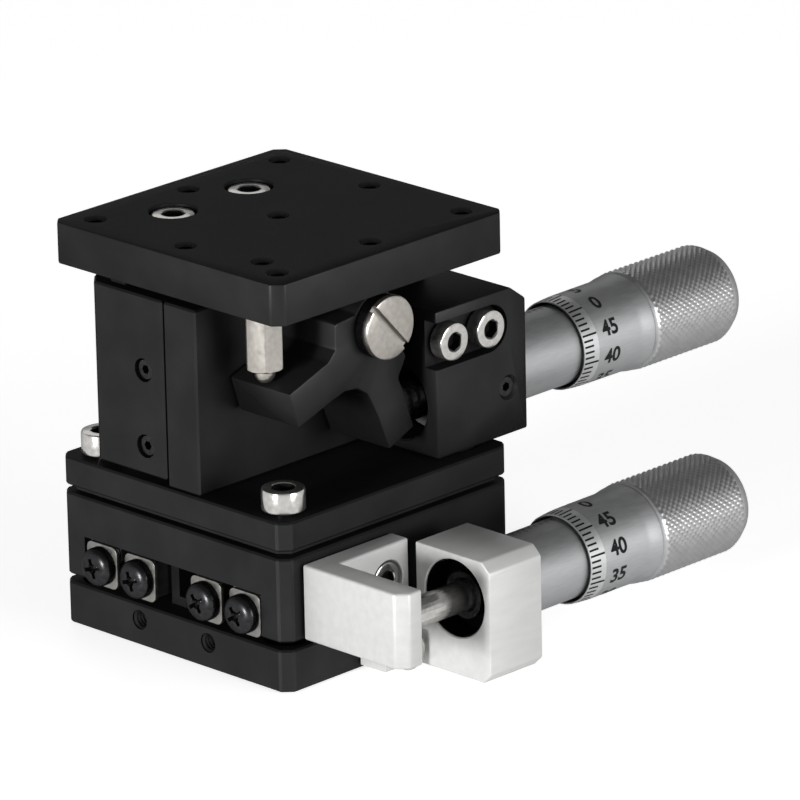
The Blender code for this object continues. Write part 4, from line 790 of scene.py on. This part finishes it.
def knurl_mesh(name, around=46, along=15):
    """Crossed knurling: blunt diamonds between grooves that run both ways round the grip."""
    bm = bmesh.new()
    cells = 4
    columns = around * cells
    rows = along * cells
    length = GRIP_END - GRIP_START
    grid = []
    for row in range(rows + 1):
        height = GRIP_START + length * row / rows
        ring = []
        for column in range(columns):
            u = column / cells
            v = row / cells
            rise = knurl_height(u + v, u - v) if 0 < row < rows else 0.0
            radius = GRIP_RADIUS - KNURL_DEPTH * (1.0 - rise)
            angle = 2 * math.pi * column / columns
            ring.append(bm.verts.new((radius * math.cos(angle), radius * math.sin(angle), height)))
        grid.append(ring)
    for row in range(rows):
        for column in range(columns):
            after = (column + 1) % columns
            bm.faces.new((grid[row][column], grid[row][after], grid[row + 1][after], grid[row + 1][column]))
    return mesh_from(bm, name)


def wrap_point(along, turn):
    """A point on the scale's surface, in the head's own frame: axis along Z, turn upwards from -Y."""
    radius = scale_radius(along) + INK_LIFT
    return Vector((radius * math.sin(turn), -radius * math.cos(turn), along))


def add_patch(bm, along, reach, turn, half_width, steps=4):
    """A thin strip of ink on the scale, along the axis."""
    rows = []
    for index in range(steps + 1):
        s = along + reach * index / steps
        swing = half_width / scale_radius(s)
        rows.append([bm.verts.new(wrap_point(s, turn - swing)), bm.verts.new(wrap_point(s, turn + swing))])
    for (a, b), (d, c) in zip(rows, rows[1:]):
        bm.faces.new((a, b, c, d))


def add_number(bm, text, along, turn, size):
    """A number wrapped round the scale, its baseline along the axis."""
    curve = bpy.data.curves.new("number", "FONT")
    curve.body = text
    curve.size = size
    curve.align_x = "CENTER"
    curve.align_y = "CENTER"
    curve.offset = size * 0.028
    obj = bpy.data.objects.new("number", curve)
    bpy.context.scene.collection.objects.link(obj)
    bpy.context.view_layer.update()
    mesh = bpy.data.meshes.new_from_object(obj.evaluated_get(bpy.context.evaluated_depsgraph_get()))
    bpy.data.objects.remove(obj, do_unlink=True)
    flat = bmesh.new()
    flat.from_mesh(mesh)
    slice_count = 12
    for index in range(-slice_count, slice_count + 1):
        y = size * index / slice_count
        geom = flat.verts[:] + flat.edges[:] + flat.faces[:]
        bmesh.ops.bisect_plane(flat, geom=geom, plane_co=(0, y, 0), plane_no=(0, 1, 0))
    lookup = {}
    for vert in flat.verts:
        s = along + vert.co.x
        lookup[vert] = bm.verts.new(wrap_point(s, turn + vert.co.y / scale_radius(s)))
    for face in flat.faces:
        bm.faces.new([lookup[vert] for vert in face.verts])
    flat.free()


def head_frame(head):
    """Local Z runs along +X, local -Y faces -Y, and local X points up."""
    y, z, rim = head
    turn = Matrix(((0, 0, 1, 0), (0, 1, 0, 0), (1, 0, 0, 0), (0, 0, 0, 1)))
    return Matrix.Translation((rim, y, z)) @ turn


def build_scale(stage, head, zero_turn, body):
    """The fifty divisions and their numbers on the thimble's bevel."""
    bm = bmesh.new()
    for division in range(DIVISIONS):
        turn = zero_turn + math.radians(360 / DIVISIONS * division)
        long_mark = division % DIVISIONS_A_NUMBER == 0
        add_patch(bm, 0.00015, 0.0023 if long_mark else 0.0015, turn, 0.00013)
        if long_mark:
            add_number(bm, str(division), 0.0050, turn, 0.0028)
    scale = show(f"{stage}_thimble_scale", mesh_from(bm, "scale", False), INK, head_frame(head))
    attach(scale, body)


def build_sleeve_scale(stage, head, start, body, turn):
    """The sleeve's datum line and its half-millimetre marks."""
    bm = bmesh.new()
    _, _, rim = head
    radius = SLEEVE_RADIUS + INK_LIFT
    length = rim - start
    pitch = 0.0005
    parts = 3

    def strip(along, reach, centre, half_angle):
        corners = []
        for s, a in ((along, centre - half_angle), (along + reach, centre - half_angle),
                     (along + reach, centre + half_angle), (along, centre + half_angle)):
            corners.append(bm.verts.new((radius * math.sin(a), -radius * math.cos(a), s)))
        bm.faces.new(corners)

    strip(-length, length, turn, 0.00006 / radius)
    count = int((length - 0.0006) / pitch)
    for index in range(count):
        along = -0.0004 - pitch * index
        sign = 1 if index % 2 else -1
        reach = 0.0011 if index % 10 == 0 else 0.0008
        for part in range(parts):
            centre = turn + sign * reach * (part + 0.5) / parts / radius
            strip(along, 0.00009, centre, reach / (2 * parts) / radius)
    marks = show(f"{stage}_sleeve_scale", mesh_from(bm, "marks", False), INK, head_frame(head))
    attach(marks, body)


def build_thimble(stage, place, body):
    thimble = show(f"{stage}_thimble_detail", thimble_mesh("thimble"), SATIN, place)
    # Painted highlight: the bevel faces get the lighter copy of the chrome.
    thimble.data.materials.append(BEVEL_HIGHLIGHT)
    for face in thimble.data.polygons:
        across = math.hypot(face.center.x, face.center.y)
        if face.center.z < BEVEL_END + 0.0001 and across > RIM_RADIUS - 0.0001:
            face.material_index = 1
    soften(thimble)
    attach(thimble, body)
    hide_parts(f"{stage}_mic_thimble")
    # Painted highlight: the knurl takes the lighter copy of the chrome.
    knurl = show(f"{stage}_thimble_grip", knurl_mesh("grip"), KNURL_HIGHLIGHT, place)
    soften(knurl, 60)
    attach(knurl, body)
    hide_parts(f"{stage}_mic_thimble")


def build_sleeve(stage, place, start, step, body):
    """The sleeve up to its shoulder, the stem behind it, and the nose round the spindle, coloured black as
    painted shade.
    """
    edge = 0.0001
    nose = start - NOSE_LENGTH
    profile = [
        (SPINDLE_HOLE, SLEEVE_END), (SLEEVE_RADIUS - edge, SLEEVE_END), (SLEEVE_RADIUS, SLEEVE_END - edge),
        (SLEEVE_RADIUS, step + edge), (SLEEVE_RADIUS - edge, step), (STEM_RADIUS, step),
        (STEM_RADIUS, start + edge), (STEM_RADIUS - edge, start), (NOSE_RADIUS, start),
        (NOSE_RADIUS, nose), (SPINDLE_HOLE, nose),
    ]
    sleeve = show(f"{stage}_sleeve_detail", lathe("sleeve", profile, 96, closed=True), SATIN, place)
    # Painted shade: the nose round the spindle takes the black-oxide colour.
    sleeve.data.materials.append(DARK)
    for face in sleeve.data.polygons:
        if face.center.z < start - edge / 2:
            face.material_index = 1
    soften(sleeve)
    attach(sleeve, body)
    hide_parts(f"{stage}_mic_sleeve")


def build_head(stage, head, stem_start, shoulder, sleeve_body, thimble_body, zero_turn):
    y, z, rim = head
    place = Matrix.Translation((rim, y, z)) @ ALONG_X
    build_thimble(stage, place, thimble_body)
    build_sleeve(stage, place, stem_start - rim, shoulder - rim, sleeve_body)
    build_scale(stage, head, zero_turn, thimble_body)
    build_sleeve_scale(stage, head, shoulder + 0.0003, sleeve_body, math.radians(100))


# Carried-over solids


def dress_solids():
    """A finish for every solid of the frame."""
    finishes = dict.fromkeys(("x_base", "x_table", "z_base", "z_column", "z_carriage"), BLACK)
    finishes.update(dict.fromkeys(("z_set_screw_upper", "z_set_screw_lower", "z_clamp_screw"), DARK))
    for name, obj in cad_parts.items():
        if "rollers" in name:
            material = BRASS
        elif "rail" in name and "stop" not in name:
            material = RAIL
        else:
            material = finishes.get(name, BRIGHT)
        obj.data.materials.clear()
        obj.data.materials.append(material)


# Studio


def seen_directly(tree):
    """One where a camera, glossy or transmission ray looks, and zero for the rest."""
    path = add_node(tree, "ShaderNodeLightPath")
    result = path.outputs["Is Camera Ray"]
    for kind in ("Is Transmission Ray", "Is Glossy Ray"):
        either = add_node(tree, "ShaderNodeMath", operation="MAXIMUM")
        tree.links.new(result, either.inputs[0])
        tree.links.new(path.outputs[kind], either.inputs[1])
        result = either.outputs["Value"]
    return result


def build_floor():
    """A plain pale floor that shows white where it is seen and still takes the object's shadow."""
    bm = bmesh.new()
    size = 3.0
    below = -0.0002
    signs = ((-1, -1), (1, -1), (1, 1), (-1, 1))
    bm.faces.new([bm.verts.new((sx * size, sy * size, below)) for sx, sy in signs])
    floor_material, tree, shader = new_material("floor", (0.80, 0.80, 0.80), 0.0, 0.9, 0.0)
    shader.inputs["Emission Color"].default_value = (1.0, 1.0, 1.0, 1.0)
    share = add_node(tree, "ShaderNodeMath", operation="MULTIPLY")
    share.inputs[1].default_value = 0.75
    tree.links.new(seen_directly(tree), share.inputs[0])
    tree.links.new(share.outputs["Value"], shader.inputs["Emission Strength"])
    floor = show("floor", mesh_from(bm, "floor"), floor_material)


def build_world():
    """A studio that is pale low down and dim overhead, and plain white for the camera."""
    world = bpy.data.worlds.new("studio")
    bpy.context.scene.world = world
    world.use_nodes = True
    tree = world.node_tree
    tree.nodes.clear()
    place = add_node(tree, "ShaderNodeTexCoord")
    parts = add_node(tree, "ShaderNodeSeparateXYZ")
    grade = add_node(tree, "ShaderNodeMapRange")
    for socket, value in (("From Min", 0.05), ("From Max", 0.65), ("To Min", 1.0), ("To Max", 0.12)):
        grade.inputs[socket].default_value = value
    tree.links.new(place.outputs["Generated"], parts.inputs["Vector"])
    tree.links.new(parts.outputs["Z"], grade.inputs["Value"])
    dim = add_node(tree, "ShaderNodeMath", operation="MULTIPLY")
    dim.inputs[1].default_value = 0.45
    tree.links.new(grade.outputs["Result"], dim.inputs[0])
    path = add_node(tree, "ShaderNodeLightPath")
    seen = add_node(tree, "ShaderNodeMath", operation="MAXIMUM")
    tree.links.new(grade.outputs["Result"], seen.inputs[0])
    tree.links.new(path.outputs["Is Camera Ray"], seen.inputs[1])
    soft = add_node(tree, "ShaderNodeBackground")
    white = add_node(tree, "ShaderNodeBackground")
    for shader, strength in ((soft, dim), (white, seen)):
        shader.inputs["Color"].default_value = (1.0, 1.0, 1.0, 1.0)
        tree.links.new(strength.outputs["Value"], shader.inputs["Strength"])
    mix = add_node(tree, "ShaderNodeMixShader")
    out = add_node(tree, "ShaderNodeOutputWorld")
    tree.links.new(seen_directly(tree), mix.inputs["Fac"])
    tree.links.new(soft.outputs["Background"], mix.inputs[1])
    tree.links.new(white.outputs["Background"], mix.inputs[2])
    tree.links.new(mix.outputs["Shader"], out.inputs["Surface"])


def add_light(name, place, target, size, power):
    light = bpy.data.lights.new(name, "AREA")
    light.shape = "DISK"
    light.size = size
    light.energy = power
    obj = bpy.data.objects.new(name, light)
    bpy.context.scene.collection.objects.link(obj)
    obj.location = place
    obj.rotation_euler = (Vector(target) - Vector(place)).to_track_quat("-Z", "Y").to_euler()


def build_camera():
    """The photo's view, from a fit to its corners and hole centres."""
    eye = Vector((-0.70312, -0.72292, 0.37874))
    azimuth = math.radians(44.97)
    elevation = math.radians(19.17)
    roll = -0.02191
    forward = Vector((math.cos(elevation) * math.cos(azimuth), math.cos(elevation) * math.sin(azimuth),
                      -math.sin(elevation)))
    level = forward.cross(Vector((0, 0, 1))).normalized()
    upright = level.cross(forward)
    right = math.cos(roll) * level + math.sin(roll) * upright
    up = -math.sin(roll) * level + math.cos(roll) * upright
    camera = bpy.data.cameras.new("camera")
    camera.sensor_width = 36.0
    camera.lens = 385.604
    camera.clip_end = 20.0
    obj = bpy.data.objects.new("camera", camera)
    bpy.context.scene.collection.objects.link(obj)
    turn = Matrix((right, up, -forward)).transposed().to_4x4()
    obj.matrix_world = Matrix.Translation(eye) @ turn
    bpy.context.scene.camera = obj


dress_solids()
build_top_plate()
build_base_threads()
build_lever()
build_pivot_screw()
build_z_block()
build_x_holder()
build_drive_bracket()
build_post()
build_cap_screws()
build_rail_stops()
build_head("x", X_HEAD, X_STEM_START, HOLDER_FACE, "base", "x_thimble", math.radians(88))
build_head("z", Z_HEAD, Z_STEM_START, BLOCK_FACE, "x_table", "z_thimble", math.radians(59.5))
build_camera()
build_floor()
build_world()
LIT = (0.0, 0.0, 0.03)
add_light("key", (-1.15, -0.10, 0.15), LIT, 0.28, 11.5)
add_light("front", (0.15, -1.15, 0.22), LIT, 0.60, 8.0)
add_light("back", (0.60, 0.80, 0.70), LIT, 0.6, 1.0)
bpy.context.scene.view_settings.view_transform = "Standard"
